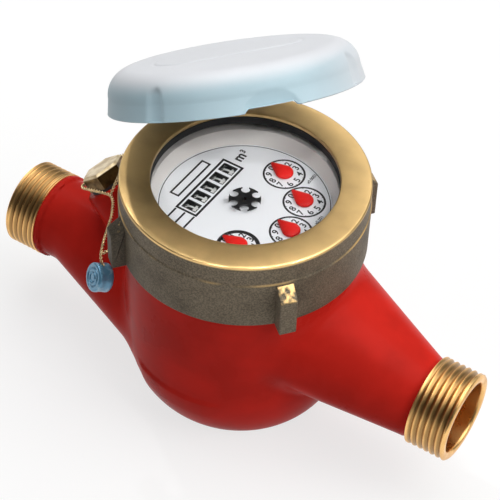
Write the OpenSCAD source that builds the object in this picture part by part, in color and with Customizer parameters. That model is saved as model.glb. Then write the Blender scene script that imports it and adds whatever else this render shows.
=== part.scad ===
// Multi-jet dry-dial water meter, opened lid, in millimetres.
// Origin: centre of the flat base. +X: along the flow to the outlet. +Z: up the register axis.

/* [Body casting] */
// Height of the pipe axis above the base
axis_h = 34; // [32:0.5:38]
// Reach of the inlet end from the register axis
inlet_reach = 97; // [92:0.5:110]
// Reach of the outlet end from the register axis
outlet_reach = 93; // [90:0.5:110]
// Outer radius of the bowl
bowl_r = 41.8; // [40:0.1:46]
// Width of the rounded foot of the bowl
foot_w = 15; // [10:0.5:16]
// Height of the rounded foot of the bowl
foot_h = 30; // [20:0.5:31]
// Wall thickness of the bowl
bowl_wall = 4.5; // [3.5:0.1:6]
// Thickness of the floor of the bowl
floor_t = 6; // [4:0.5:8]
// Step from the wall of the bowl in to the threaded neck
neck_step = 2.3; // [1.5:0.1:3]
// Wall thickness of the threaded neck
neck_wall = 3.5; // [3:0.1:4.5]
// Width of the shoulder that the register stands on
shoulder_w = 2.5; // [2:0.1:3.5]

/* [Pipe ends] */
// Major radius of the pipe thread
thread_r = 16.62; // [16:0.02:18]
// Length of the inlet's thread
inlet_thread_len = 12; // [9:0.5:18]
// Length of the outlet's thread
outlet_thread_len = 15; // [12:0.5:18]
// Bevel at the end of each pipe thread
thread_bevel = 1.2; // [0.6:0.1:2]
// Radius of the neck behind each thread
pipe_neck_r = 14.9; // [14.6:0.1:15.1]
// Length of the neck behind the inlet's thread
inlet_neck = 9; // [6:0.5:12]
// Length of the neck behind the outlet's thread
outlet_neck = 2; // [1:0.5:4]
// Radius of the bore at each pipe end
pipe_bore_r = 13.2; // [12:0.1:13.6]
// Depth of the bore at each pipe end
pipe_bore_len = 26; // [22:1:28]
// Radius of the nozzle where it meets the neck
nozzle_end_r = 15.2; // [15.1:0.1:16.5]
// Half width of the outlet nozzle where it enters the bowl
outlet_root_w = 30.3; // [26:0.1:32]
// Half height of the outlet nozzle where it enters the bowl
outlet_root_h = 22.4; // [20:0.1:23]
// Rise of the outlet nozzle from the pipe axis to the bowl
outlet_rise = 14; // [10:0.5:14.5]
// Half width of the inlet nozzle where it enters the bowl
inlet_root_w = 31; // [26:0.1:32]
// Half height of the inlet nozzle where it enters the bowl
inlet_root_h = 23.4; // [20:0.1:24]
// Drop of the inlet nozzle from the pipe axis to the bowl
inlet_drop = 6.6; // [4:0.1:7]

/* [Register ring] */
// Height of the ring's top face above the base
ring_top = 99; // [96:0.5:110]
// Wall thickness of the ring outside its thread
ring_wall = 3.6; // [3:0.1:5]
// Width of the lip over the glass, inwards of the thread
ring_lip_w = 7.3; // [6.5:0.1:8]
// Height of the ring
ring_h = 27.5; // [26:0.5:30]
// Thickness of the lip over the glass
ring_lip = 1.6; // [1.2:0.1:2]
// Width of each lug on the ring
lug_w = 6; // [4:0.5:8]
// Reach of the lugs beyond the ring
lug_out = 5; // [3:0.1:6]

/* [Register] */
// Thickness of the glass
glass_t = 3; // [2:0.5:3.5]
// Thickness of the gasket over the glass
gasket_t = 3; // [2:0.5:3.5]
// Depth of the dial face below the ring's top face
dial_depth = 13; // [12.6:0.1:15]
// Width of the bezel that shows inside the ring
bezel_w = 2.1; // [1.5:0.1:3]
// Inset of the pointers' axes from the edge of the dial
pointer_inset = 9.6; // [9:0.1:11]
// Length of a pointer from its axis to its tip
pointer_len = 6.4; // [5:0.1:7]
// Inset of the number wheels' shaft from the edge of the dial
wheel_inset = 15.8; // [14:0.1:16.5]
// Radius of a number wheel
wheel_r = 5.2; // [4.6:0.1:5.6]
// Pitch of the number wheels along their shaft
wheel_pitch = 5.6; // [5.2:0.1:5.9]
// Turn of the dial about the register axis
dial_turn = 90; // [0:5:180]

/* [Lid] */
// Height of the lid
lid_h = 14; // [12:0.1:18]
// Wall thickness of the lid
lid_wall = 2; // [1.6:0.1:2.6]
// Radius of the rounded top edge of the lid
lid_round = 8.7; // [5:0.1:9]
// Draft of the lid's skirt, as an inset at the top
lid_draft = 1; // [0.5:0.1:2]
// Distance of the hinge pin outside the ring
hinge_out = 6.3; // [6:0.1:8]
// Depth of the hinge pin below the ring's top face
hinge_drop = 7.8; // [6:0.1:10]
// Angle of the hinge about the register axis
hinge_turn = 141; // [120:1:160]
// Opening angle of the lid as it stands
lid_open = 33; // [5:1:80]
// Radius of the hinge pin
pin_r = 1.6; // [1.2:0.1:1.8]

/* [Measuring chamber] */
// Gap from the chamber's bore in to the jet basket
basket_inset = 4; // [3.5:0.1:5]
// Wall thickness of the jet basket
basket_wall = 2.5; // [2:0.1:3]
// Number of jets in each row
jets = 12; // [8:1:14]
// Number of impeller vanes
vanes = 8; // [6:1:10]
// Gap from the jet basket in to the impeller's vanes
vane_gap = 1.6; // [1:0.1:3]

/* [Regulator] */
// Radius of the regulator boss
boss_r = 10.5; // [9.5:0.1:12]
// Distance of the plug's seat outside the bowl
plug_out = 15.7; // [14:0.1:18]
// Height of the plug's seat above the pipe axis
plug_rise = 31; // [29:0.5:33]
// Lean of the plug towards the inlet
plug_lean = 40; // [30:1:50]
// Radius across the corners of the plug's head
plug_r = 8.5; // [7.5:0.1:9]
// Height of the plug's head
plug_h = 6; // [4:0.5:8]

/* [Hidden] */
$fn = 64;
run_gap = 0.06;   // radial clearance of a running shaft
press_gap = 0.02; // radial clearance of a pressed shaft
seat_gap = 0.1;   // clearance of a fixed piece in its seat
side_gap = 0.3;   // clearance beside a moving piece
cut = 1;          // overrun of a cutting shape past the face that it cuts

// Steps of the body's bores and of the ring, from the bowl inwards and out again
cavity_r = bowl_r - bowl_wall;
neck_r = bowl_r - neck_step;
seat_r = neck_r - neck_wall;
chamber_r = seat_r - shoulder_w;
basket_r = chamber_r - basket_inset;
basket_in_r = basket_r - basket_wall;
shelf_r = basket_r + 0.5;
impeller_r = basket_in_r - vane_gap;
thread_bore_r = neck_r + seat_gap;
ring_r = thread_bore_r + ring_wall;
ring_open_r = thread_bore_r - ring_lip_w;
lug_r = ring_r + lug_out;
dial_r = ring_open_r - bezel_w;
glass_r = neck_r - 0.8;
plate_r = seat_r - 0.2;
can_r = seat_r - 0.4;
can_wall = 1.6;
can_in_r = can_r - can_wall;
can_ledge_r = can_in_r - 1.6;
disc_r = can_in_r - seat_gap;

// Gear train on the dial's own axes, x to the right of the dial and y to its top
pointer_circle = dial_r - pointer_inset;
gear_m = pointer_circle / 34.33;
pinion_t = 8;
first_t = 28;
mid_t = 20;
slow_t = 32;
gear_h = 1.4;
gear_step = 2.2;
gear_levels = 4;
arbor_r = 0.8;
socket_h = 1;
socket_r = 1.8;
socket_depth = 0.8;
gear_lift = socket_h + 0.5;
stack_h = gear_lift + gear_levels * gear_step + 0.7;

// Heights up the register axis
ring_z = ring_top - ring_h;
lip_z = ring_top - ring_lip;
gasket_z = lip_z - gasket_t;
glass_z = gasket_z - glass_t;
bezel_flange_t = 1.2;
neck_top = glass_z - bezel_flange_t;
dial_z = ring_top - dial_depth;
dial_t = 1;
dial_low = dial_z - dial_t;
train_plate_t = 2.5;
train_z = dial_low - train_plate_t;
can_floor = train_z - stack_h;
can_floor_t = 1.5;
can_z = can_floor - can_floor_t;
floor_pivot_z = can_floor - socket_depth + 0.1;
plate_t = 6;
shoulder_z = can_z - plate_t;
shoulder_t = 5;
cover_t = 4;
cover_z = shoulder_z - cover_t;
shelf_t = 4;
shelf_z = axis_h - 1;
shelf_top = shelf_z + shelf_t;
basket_z = floor_t + 7;
basket_floor_t = 2;
basket_flange_t = 2.5;
passage_h = 10;

// Places in the gear train
function level(n) = can_floor + gear_lift + n * gear_step;
function polar(r, a) = [r * cos(a), r * sin(a)];
function bearing(p, q) = atan2(q[1] - p[1], q[0] - p[0]);
pointer_angles = [-9, -53, -97, -153];
function pointer_at(i) = polar(pointer_circle, pointer_angles[i]);
function gear_span(a, b) = (a + b) / 2 * gear_m;
// Corner of a triangle on the line p to q, at distance a from p and b from q, on the given side
function corner(p, q, a, b, side) =
    let (d = norm(q - p), turn = acos((a * a + d * d - b * b) / (2 * a * d)))
    p + polar(a, bearing(p, q) + side * turn);
star_at = [0, 0];
first_at = corner(star_at, pointer_at(3), gear_span(pinion_t, first_t), gear_span(pinion_t, slow_t), 1);
// Idler i takes the drive from pointer i + 1 to pointer i, counted from 0
idler_side = [1, 1, -1];
function idler_at(i) = corner(pointer_at(i + 1), pointer_at(i), gear_span(pinion_t, mid_t),
    gear_span(pinion_t, slow_t), idler_side[i]);
// Levels of the slow wheel and the pinion of each pointer, and of each idler's wheel
slow_level = [2, 0, 2, 0];
pinion_level = [1, 3, 1, 1];
mid_level = [3, 1, 1];
// Whether an idler stands on the floor of the can, or hangs from the plate over the train
idler_stands = [false, true, false];
arbor_top = dial_low - 0.2;
hand_z = dial_z + 0.6;
hand_t = 1.8;
star_z = dial_z + 1;
star_t = 1.5;

// Magnets and shafts
magnet_r = gear_span(pinion_t, first_t) - 3.8;
magnet_h = 4;
magnet_z = cover_z + 2;
magnet_recess_r = magnet_r + 3;
follower_h = 2.2;
impeller_shaft_r = 1.5;
pivot_r = 1;
pivot_foot_r = 2.5;
pivot_h = 6;

// Number wheels
wheel_count = 5;
wheel_w = wheel_pitch - 0.4;
wheel_y = dial_r - wheel_inset;
wheel_z = dial_low - 0.5 - wheel_r;
wheel_shaft_r = 0.9;
cheek_t = 1.4;
cheek_x = wheel_count / 2 * wheel_pitch + 0.3;
shaft_half = cheek_x + cheek_t + 0.2;
window_w = wheel_pitch - 1.3;
window_h = 5.8;
function wheel_x(i) = (i - (wheel_count - 1) / 2) * wheel_pitch;

// Lid and hinge
lid_r = ring_r;
lid_z = ring_top + 0.3;
hinge_reach = ring_r + hinge_out;
hinge_z = ring_top - hinge_drop;
knuckle_w = 10;
knuckle_r = pin_r + 1.8;
ear_t = 5;
ear_r = knuckle_r + 0.1;
pin_len = knuckle_w + 2 * ear_t + 1;
notch_w = 17;
notch_h = 1.6;
grip_r = 3;
grip_h = 9;
grip_turn = 52;

// Lugs of the ring
lug_turns = [-180, -90, 90];
lug_top = ring_top - 8.5;
lug_low = ring_z - 3.5;
tie_hole_r = 1;
tie_hole_at = ring_r + lug_out / 2 + 0.4;
tie_hole_z = lug_low + 4.5;

// Regulator
plug_x = bowl_r + plug_out;
plug_z = axis_h + plug_rise;
plug_stem_r = plug_r - 2.5;
plug_stem_h = 8;
screw_r = plug_stem_r / 2;
screw_h = 9;
washer_t = 1.2;
boss_h = 28;

// Routes of the seal wire: from the plug to the seal, from the plug's far side, and to the lug
wire_r = 0.6;
wire_sides = 8;
seal_wire_route = [[-64.9, 0, 64.3], [-64.9, -2, 64.3], [-65.3, -4.5, 64.2], [-65.2, -7.2, 64.8],
    [-63.4, -9, 66], [-60.2, -9.6, 67.5], [-57, -9.8, 68.6], [-53.8, -9.8, 69.5], [-50.5, -10, 70.2],
    [-47.5, -12.5, 70.9],
    [-45, -16, 71.2], [-43, -19.5, 71.1], [-41.5, -23, 70.9], [-40, -26.5, 70.8], [-38.5, -30, 70.5],
    [-37.2, -32.6, 70.1], [-36, -35, 69.6], [-34.6, -36.8, 68.8], [-33.2, -37.6, 67.2]];
far_wire_route = [[-64.9, 0, 64.3], [-64.9, 2, 64.3], [-65.2, 4.5, 64.1], [-65.4, 7, 64.4], [-64.2, 9, 65.8],
    [-61, 10, 68.7], [-57.4, 9.6, 72], [-54.2, 7.4, 74.6], [-52.4, 3.6, 75.8], [-51.8, -0.5, 75.4],
    [-51.4, -4, 73.8], [-51, -7, 72], [-50.6, -9.5, 70.4]];
lug_wire_route = [[-30, -35.2, 72.5], [-31.6, -33.9, 72.5], [-33, -33.3, 72], [-34.4, -33.7, 71],
    [-35.6, -34.6, 69.9]];
seal_at = [-33.8, -39, 62.8];
seal_dir = [-0.5, -0.77, 0.4];
seal_r = 5.2;
seal_t = 6;

// Shared shapes

// Ring of revolution between two radii and two heights
module ring(r_out, r_in, z0, z1) {
    translate([0, 0, z0])
        difference() {
            cylinder(r = r_out, h = z1 - z0);
            translate([0, 0, -cut]) cylinder(r = r_in, h = z1 - z0 + 2 * cut);
        }
}

// Cylinder along X from x0 to x1 at the height of the pipe axis
module pipe_rod(x0, x1, r_start, r_end) {
    translate([x0, 0, axis_h]) rotate([0, 90, 0]) cylinder(r1 = r_start, r2 = r_end, h = x1 - x0);
}

// Thin slice across the pipe axis, an ellipse of half width w and half height h
module slice(x, w, h, rise, t) {
    translate([x, 0, axis_h + rise]) rotate([90, 0, 90]) linear_extrude(t, center = true)
        scale([w, h]) circle(r = 1, $fn = 56);
}

// Points of an arc about a centre, from angle a0 to a1
function arc(c, r, a0, a1, n) = [for (i = [0:n]) c + polar(r, a0 + (a1 - a0) * i / n)];

// Spur gear with straight-sided teeth, one tooth centred on angle turn
module spur(teeth, turn, z, h = gear_h) {
    pitch = 360 / teeth;
    root = gear_m * (teeth / 2 - 1.2);
    tip = gear_m * (teeth / 2 + 0.85);
    flanks = [[root, -0.24], [tip, -0.09], [tip, 0.09], [root, 0.24]];
    outline = [for (i = [0:teeth - 1]) for (f = flanks) polar(f[0], turn + pitch * (i + f[1]))];
    translate([0, 0, z]) linear_extrude(h) polygon(outline);
}

// Tube swept along a route, closed at both ends
module wire(route) {
    n = len(route);
    tangents = [for (i = [0:n - 1])
        let (d = route[min(i + 1, n - 1)] - route[max(i - 1, 0)]) d / norm(d)];
    rings = [for (i = [0:n - 1])
        let (t = tangents[i], side = cross(t, [0.3, 0.2, 1]), u = side / norm(side), v = cross(t, u))
        for (k = [0:wire_sides - 1])
            route[i] + wire_r * (cos(360 * k / wire_sides) * u + sin(360 * k / wire_sides) * v)];
    walls = [for (i = [0:n - 2]) for (k = [0:wire_sides - 1])
        let (a = i * wire_sides, b = a + wire_sides, m = (k + 1) % wire_sides)
        for (face = [[a + k, b + k, b + m], [a + k, b + m, a + m]]) face];
    first = [for (k = [0:wire_sides - 1]) k];
    last = [for (k = [wire_sides - 1:-1:0]) (n - 1) * wire_sides + k];
    polyhedron(points = rings, faces = concat([first], walls, [last]));
}

// Frames that carry the register and the hinge
module on_dial() {
    rotate([0, 0, dial_turn]) children();
}
module at_hinge() {
    rotate([0, 0, hinge_turn]) children();
}
module on_plug_axis() {
    translate([-plug_x, 0, plug_z]) rotate([0, -plug_lean, 0]) children();
}
module opened_lid() {
    at_hinge() translate([hinge_reach, 0, hinge_z]) rotate([0, lid_open, 0])
        translate([-hinge_reach, 0, -hinge_z]) children();
}

// Body

// Quarter ellipse at the foot of the bowl, inset by a wall and a floor
function foot_curve(wall, base) = [for (i = [0:12])
    let (a = -90 + i * 7.5)
    [bowl_r - foot_w + (foot_w - wall) * cos(a), foot_h + (foot_h - base) * sin(a)]];

module bowl() {
    rotate_extrude($fn = 96)
        polygon(concat([[0, 0]], foot_curve(0, 0), [[bowl_r, ring_z - 0.5], [neck_r, ring_z - 0.5],
            [neck_r, neck_top], [0, neck_top]]));
}

// Space inside the bowl, in two chambers above and below the shelf
module bowl_space() {
    rotate_extrude($fn = 96)
        polygon(concat([[0, floor_t]], foot_curve(bowl_wall, floor_t), [[cavity_r, shelf_z], [0, shelf_z]]));
    translate([0, 0, floor_t]) cylinder(r = shelf_r, h = shoulder_z - floor_t);
    translate([0, 0, shelf_top]) cylinder(r = cavity_r, h = shoulder_z - shoulder_t - shelf_top);
    translate([0, 0, shelf_top]) cylinder(r = chamber_r, h = shoulder_z - shelf_z);
    translate([0, 0, shoulder_z]) cylinder(r = seat_r, h = neck_top);
}

// Nozzle from an oval root inside the bowl to the neck behind the thread
module nozzle(side, end_x, root_w, root_h, rise) {
    slice_t = 0.2;
    root_x = sqrt(bowl_r * bowl_r - root_w * root_w) - 0.8;
    hull() {
        slice(side * root_x, root_w, root_h, rise, slice_t);
        slice(side * (end_x - slice_t / 2), nozzle_end_r, nozzle_end_r, 0, slice_t);
    }
}

// Turned end of the pipe: neck, thread at its major radius, and bevel
module pipe_end(side, reach, thread_len, neck) {
    core_len = 8;
    thread_x = reach - thread_len;
    mirror([side < 0 ? 1 : 0, 0, 0]) {
        pipe_rod(thread_x - neck - core_len, thread_x, pipe_neck_r, pipe_neck_r);
        pipe_rod(thread_x, reach - thread_bevel, thread_r, thread_r);
        pipe_rod(reach - thread_bevel, reach, thread_r, thread_r - thread_bevel);
    }
}

// Waterway from the pipe's bore to one of the two chambers
module passage(side, reach, rise) {
    throat_r = pipe_bore_r - 1.7;
    mouth_w = basket_r - 4;
    mouth_in = 11;
    slice_t = 0.2;
    hull() {
        slice(side * (cavity_r - mouth_in), mouth_w, passage_h, rise, slice_t);
        slice(side * (reach - pipe_bore_len + 0.5), throat_r, throat_r, 0, slice_t);
    }
    mirror([side < 0 ? 1 : 0, 0, 0])
        pipe_rod(reach - pipe_bore_len, reach + cut, pipe_bore_r, pipe_bore_r);
}

module meter_body() {
    inlet_end = inlet_reach - inlet_thread_len - inlet_neck;
    outlet_end = outlet_reach - outlet_thread_len - outlet_neck;
    lower_rise = shelf_z - passage_h - 1 - axis_h;
    upper_rise = shelf_top + passage_h + 1 - axis_h;
    color("firebrick")
        difference() {
            union() {
                bowl();
                nozzle(-1, inlet_end, inlet_root_w, inlet_root_h, -inlet_drop);
                nozzle(1, outlet_end, outlet_root_w, outlet_root_h, outlet_rise);
                pipe_end(-1, inlet_reach, inlet_thread_len, inlet_neck);
                pipe_end(1, outlet_reach, outlet_thread_len, outlet_neck);
                on_plug_axis() translate([0, 0, -boss_h]) cylinder(r = boss_r, h = boss_h);
            }
            bowl_space();
            passage(-1, inlet_reach, lower_rise);
            passage(1, outlet_reach, upper_rise);
            on_plug_axis() translate([0, 0, -plug_stem_h - seat_gap])
                cylinder(r = plug_stem_r + seat_gap, h = plug_stem_h + cut);
            on_plug_axis() translate([0, 0, -plug_stem_h - screw_h - 1])
                cylinder(r = screw_r + seat_gap, h = screw_h + 2 * cut);
        }
}

module inlet_strainer() {
    rim_x = -inlet_reach + 3;
    rim_t = 2.5;
    rim_r = pipe_bore_r - 0.05;
    cup_len = 18;
    mouth_r = pipe_bore_r - 1.8;
    tail_r = mouth_r - 2.4;
    wall = 1;
    slots = 10;
    slot_w = 1.6;
    slot_len = cup_len - rim_t - 4;
    color("gainsboro")
        difference() {
            union() {
                pipe_rod(rim_x, rim_x + rim_t, rim_r, rim_r);
                pipe_rod(rim_x, rim_x + cup_len, mouth_r, tail_r);
            }
            pipe_rod(rim_x - cut, rim_x + cup_len - wall, mouth_r - wall, tail_r - wall);
            for (i = [0:slots - 1])
                translate([rim_x + rim_t + 1.5, 0, axis_h]) rotate([i * 360 / slots, 0, 0])
                    translate([0, -slot_w / 2, tail_r / 2]) cube([slot_len, slot_w, mouth_r]);
        }
}

module chamber_basket() {
    jet_w = 4;
    jet_h = 8;
    jet_len = 20;
    jet_root = 8;
    jet_offset = 9;
    inlet_jet_drop = 14;
    outlet_jet_rise = 8;
    jet_x = basket_in_r - jet_root;
    jet_y = basket_in_r - jet_offset;
    inlet_jet_z = shelf_z - inlet_jet_drop;
    outlet_jet_z = shelf_top + outlet_jet_rise;
    color("whitesmoke")
        difference() {
            union() {
                ring(basket_r, basket_in_r, basket_z, cover_z);
                translate([0, 0, basket_z]) cylinder(r = basket_r, h = basket_floor_t);
                ring(chamber_r - 0.2, basket_in_r, shelf_top, shelf_top + basket_flange_t);
            }
            translate([0, 0, basket_z - cut])
                cylinder(r = pivot_foot_r + seat_gap, h = basket_floor_t + 2 * cut);
            for (i = [0:jets - 1]) {
                rotate([0, 0, i * 360 / jets]) translate([jet_x, jet_y, inlet_jet_z])
                    cube([jet_len, jet_w, jet_h]);
                rotate([0, 0, i * 360 / jets]) translate([jet_x, -jet_y, outlet_jet_z])
                    cube([jet_len, jet_w, jet_h]);
            }
        }
}

module pivot_pin() {
    color("silver") {
        translate([0, 0, basket_z]) cylinder(r = pivot_foot_r, h = basket_floor_t);
        translate([0, 0, basket_z]) cylinder(r = pivot_r, h = basket_floor_t + pivot_h);
    }
}

module impeller() {
    hub_r = 4;
    hub_z = basket_z + basket_floor_t + 1;
    vane_z = hub_z + 2;
    vane_top = cover_z - 3;
    vane_t = 1.5;
    vane_root = hub_r - 0.8;
    shaft_top = magnet_z + magnet_h;
    pivot_depth = pivot_h - (hub_z - basket_z - basket_floor_t) + 0.2;
    color("ivory")
        difference() {
            union() {
                translate([0, 0, hub_z]) cylinder(r = hub_r, h = vane_top - hub_z);
                translate([0, 0, vane_top - 1]) cylinder(r = impeller_shaft_r, h = shaft_top - vane_top + 1);
                for (i = [0:vanes - 1])
                    rotate([0, 0, i * 360 / vanes]) translate([vane_root, -vane_t / 2, vane_z])
                        cube([impeller_r - vane_root, vane_t, vane_top - 1 - vane_z]);
            }
            translate([0, 0, hub_z - cut]) cylinder(r = pivot_r + run_gap, h = pivot_depth + cut);
        }
}

module drive_magnet() {
    color("dimgray")
        ring(magnet_r, impeller_shaft_r + press_gap, magnet_z, magnet_z + magnet_h);
}

module chamber_cover() {
    color("whitesmoke")
        difference() {
            translate([0, 0, cover_z]) cylinder(r = chamber_r - 0.2, h = cover_t);
            translate([0, 0, cover_z - cut]) cylinder(r = impeller_shaft_r + run_gap, h = cover_t + 2 * cut);
            translate([0, 0, magnet_z - 0.5]) cylinder(r = magnet_recess_r, h = cover_t);
        }
}

module pressure_plate() {
    cord_groove = 2;
    groove_z = shoulder_z + (plate_t - cord_groove) / 2;
    crown_t = 2.5;
    color("goldenrod")
        difference() {
            translate([0, 0, shoulder_z]) cylinder(r = plate_r, h = plate_t);
            translate([0, 0, shoulder_z - cut]) cylinder(r = magnet_recess_r, h = plate_t - crown_t + cut);
            ring(plate_r + cut, plate_r - 1.8, groove_z, groove_z + cord_groove);
        }
}

module body_seal() {
    cord_r = 0.92;
    color("black")
        translate([0, 0, shoulder_z + plate_t / 2])
            rotate_extrude($fn = 96) translate([seat_r - 0.05 - cord_r, 0]) circle(r = cord_r, $fn = 24);
}

module regulating_screw() {
    slot_w = 0.8;
    slot_depth = 1.2;
    color("goldenrod")
        on_plug_axis() translate([0, 0, -plug_stem_h - screw_h - 0.5])
            difference() {
                cylinder(r = screw_r, h = screw_h);
                translate([-screw_r - cut, -slot_w / 2, screw_h - slot_depth])
                    cube([2 * (screw_r + cut), slot_w, slot_depth + cut]);
            }
}

module plug_washer() {
    color("darkslategray")
        on_plug_axis() ring(plug_r - 0.6, plug_stem_r + 0.05, 0, washer_t);
}

module adjuster_plug() {
    tie_x = plug_r * 0.72;
    bevel = 0.9;
    flat_h = plug_h - bevel;
    color("peru")
        on_plug_axis()
            difference() {
                union() {
                    translate([0, 0, washer_t]) cylinder(r = plug_r, h = flat_h, $fn = 6);
                    translate([0, 0, washer_t + flat_h])
                        cylinder(r1 = plug_r, r2 = plug_r - bevel, h = bevel, $fn = 6);
                    translate([0, 0, -plug_stem_h]) cylinder(r = plug_stem_r, h = plug_stem_h + washer_t);
                }
                translate([-tie_x, 0, washer_t + plug_h / 2]) rotate([90, 0, 0])
                    cylinder(r = tie_hole_r, h = 4 * plug_r, center = true);
            }
}

// Register

module register_can() {
    sockets = concat([star_at, first_at, idler_at(1)], [for (i = [0:3]) pointer_at(i)]);
    color("gainsboro")
        difference() {
            union() {
                ring(can_r, can_in_r, can_z, neck_top);
                ring(can_r, can_ledge_r, can_z, train_z);
                translate([0, 0, can_z]) cylinder(r = can_r, h = can_floor_t);
                on_dial() for (p = sockets)
                    translate([p[0], p[1], can_z]) cylinder(r = socket_r, h = can_floor_t + socket_h);
            }
            on_dial() for (p = sockets)
                translate([p[0], p[1], can_floor - socket_depth])
                    cylinder(r = arbor_r + run_gap, h = socket_depth + socket_h + cut);
        }
}

module train_plate() {
    bores = concat([star_at, first_at, idler_at(0), idler_at(2)], [for (i = [0:3]) pointer_at(i)]);
    well_w = 2 * cheek_x;
    well_h = 2 * wheel_r + 1.6;
    drop = train_z - wheel_z + cut;
    cheek_w = 2 * wheel_shaft_r + 3;
    color("whitesmoke")
        on_dial()
            difference() {
                union() {
                    translate([0, 0, train_z]) cylinder(r = disc_r, h = train_plate_t);
                    for (s = [-1, 1])
                        translate([s * (cheek_x + cheek_t / 2), wheel_y, wheel_z + drop / 2])
                            cube([cheek_t, cheek_w, drop], center = true);
                    for (s = [-1, 1])
                        translate([s * (cheek_x + cheek_t / 2), wheel_y, wheel_z]) rotate([0, 90, 0])
                            cylinder(r = cheek_w / 2, h = cheek_t, center = true);
                }
                translate([-well_w / 2, wheel_y - well_h / 2, train_z - cut])
                    cube([well_w, well_h, train_plate_t + 2 * cut]);
                for (p = bores)
                    translate([p[0], p[1], train_z - cut])
                        cylinder(r = arbor_r + run_gap, h = train_plate_t + 2 * cut);
                translate([0, wheel_y, wheel_z]) rotate([0, 90, 0])
                    cylinder(r = wheel_shaft_r + press_gap, h = 3 * shaft_half, center = true);
            }
}

module dial_plate() {
    holes = concat([star_at], [for (i = [0:3]) pointer_at(i)]);
    color("white")
        on_dial()
            difference() {
                translate([0, 0, dial_low]) cylinder(r = disc_r, h = dial_t);
                for (p = holes)
                    translate([p[0], p[1], dial_low - cut])
                        cylinder(r = arbor_r + run_gap, h = dial_t + 2 * cut);
                for (i = [0:wheel_count - 1])
                    translate([wheel_x(i) - window_w / 2, wheel_y - window_h / 2, dial_low - cut])
                        cube([window_w, window_h, dial_t + 2 * cut]);
            }
}

module number_shaft() {
    color("silver")
        on_dial() translate([0, wheel_y, wheel_z]) rotate([0, 90, 0])
            cylinder(r = wheel_shaft_r, h = 2 * shaft_half, center = true);
}

module number_wheel(i) {
    color("black")
        on_dial() translate([wheel_x(i), wheel_y, wheel_z]) rotate([0, 90, 0])
            difference() {
                cylinder(r = wheel_r, h = wheel_w, center = true);
                cylinder(r = wheel_shaft_r + run_gap, h = wheel_w + 2 * cut, center = true);
            }
}
module number_wheel_1() { number_wheel(4); }
module number_wheel_2() { number_wheel(3); }
module number_wheel_3() { number_wheel(2); }
module number_wheel_4() { number_wheel(1); }
module number_wheel_5() { number_wheel(0); }

module bezel_ring() {
    flange_r = glass_r + seat_gap;
    color("linen")
        rotate_extrude($fn = 96)
            polygon([[dial_r, dial_z], [disc_r, dial_z], [disc_r, neck_top], [flange_r, neck_top],
                [flange_r, glass_z], [ring_open_r, glass_z]]);
}

module glass() {
    color([0.8, 0.9, 0.95, 0.4]) translate([0, 0, glass_z]) cylinder(r = glass_r, h = glass_t, $fn = 96);
}

module glass_gasket() {
    color("black") ring(glass_r + seat_gap, ring_open_r - 0.1, gasket_z, lip_z);
}

module register_ring() {
    edge = 0.5;
    ledge = 0.3;
    color("tan")
        difference() {
            union() {
                rotate_extrude($fn = 96)
                    polygon([[thread_bore_r, ring_z], [ring_r + ledge, ring_z], [ring_r + ledge, lug_top],
                        [ring_r, lug_top + edge], [ring_r, ring_top - edge], [ring_r - edge, ring_top],
                        [ring_open_r, ring_top], [ring_open_r, lip_z], [thread_bore_r, lip_z]]);
                for (turn = lug_turns) rotate([0, 0, hinge_turn + turn]) ring_lug();
                at_hinge() for (s = [-1, 1]) translate([0, s * (knuckle_w + ear_t) / 2, 0]) hinge_ear();
            }
            at_hinge() translate([hinge_reach, 0, hinge_z]) rotate([90, 0, 0])
                cylinder(r = pin_r + press_gap, h = pin_len + 4 * cut, center = true);
            rotate([0, 0, hinge_turn + 90]) translate([tie_hole_at, 0, tie_hole_z])
                rotate([90, 0, 0]) cylinder(r = tie_hole_r, h = lug_w + 2 * cut, center = true);
        }
}

// Spanner lug on the ring, with a sloping top
module ring_lug() {
    root_x = ring_r - 1;
    slope = 5;
    translate([0, lug_w / 2, 0]) rotate([90, 0, 0]) linear_extrude(lug_w)
        polygon([[root_x, ring_z], [ring_r + 0.4, lug_low], [lug_r, lug_low], [lug_r, lug_top - slope],
            [root_x, lug_top]]);
}

// Ear beside the lid's knuckle
module hinge_ear() {
    root_x = ring_r - 1;
    slope = 6;
    translate([hinge_reach, 0, hinge_z]) rotate([90, 0, 0]) cylinder(r = ear_r, h = ear_t, center = true);
    translate([0, ear_t / 2, 0]) rotate([90, 0, 0]) linear_extrude(ear_t)
        polygon([[root_x, hinge_z - ear_r - slope], [hinge_reach, hinge_z - ear_r],
            [hinge_reach, hinge_z + ear_r], [root_x, hinge_z + ear_r]]);
}

module hinge_pin() {
    color("silver")
        at_hinge() translate([hinge_reach, 0, hinge_z]) rotate([90, 0, 0])
            cylinder(r = pin_r, h = pin_len, center = true);
}

// Moving pieces of the register

module arbor(p, z0, z1) {
    translate([p[0], p[1], z0]) cylinder(r = arbor_r, h = z1 - z0);
}

module follower_arbor() {
    color("silver")
        on_dial() {
            arbor(star_at, floor_pivot_z, star_z + star_t);
            spur(pinion_t, bearing(star_at, first_at), level(3));
        }
}

module follower_magnet() {
    follower_z = can_floor + socket_h + 0.2;
    color("dimgray")
        ring(magnet_r, arbor_r + press_gap, follower_z, follower_z + follower_h);
}

module star_indicator() {
    arms = 6;
    arm_r = 5.6;
    notch_at = 4.6;
    notch_r = 1.7;
    notch_w = 2.4;
    color("black")
        on_dial() translate([0, 0, star_z])
            difference() {
                cylinder(r = arm_r, h = star_t);
                for (i = [0:arms - 1])
                    rotate([0, 0, (i + 0.5) * 360 / arms]) translate([notch_at, 0, -cut]) {
                        cylinder(r = notch_r, h = star_t + 2 * cut);
                        translate([0, -notch_w / 2, 0]) cube([arm_r, notch_w, star_t + 2 * cut]);
                    }
                translate([0, 0, -cut]) cylinder(r = arbor_r + press_gap, h = star_t + 2 * cut);
            }
}

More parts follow.
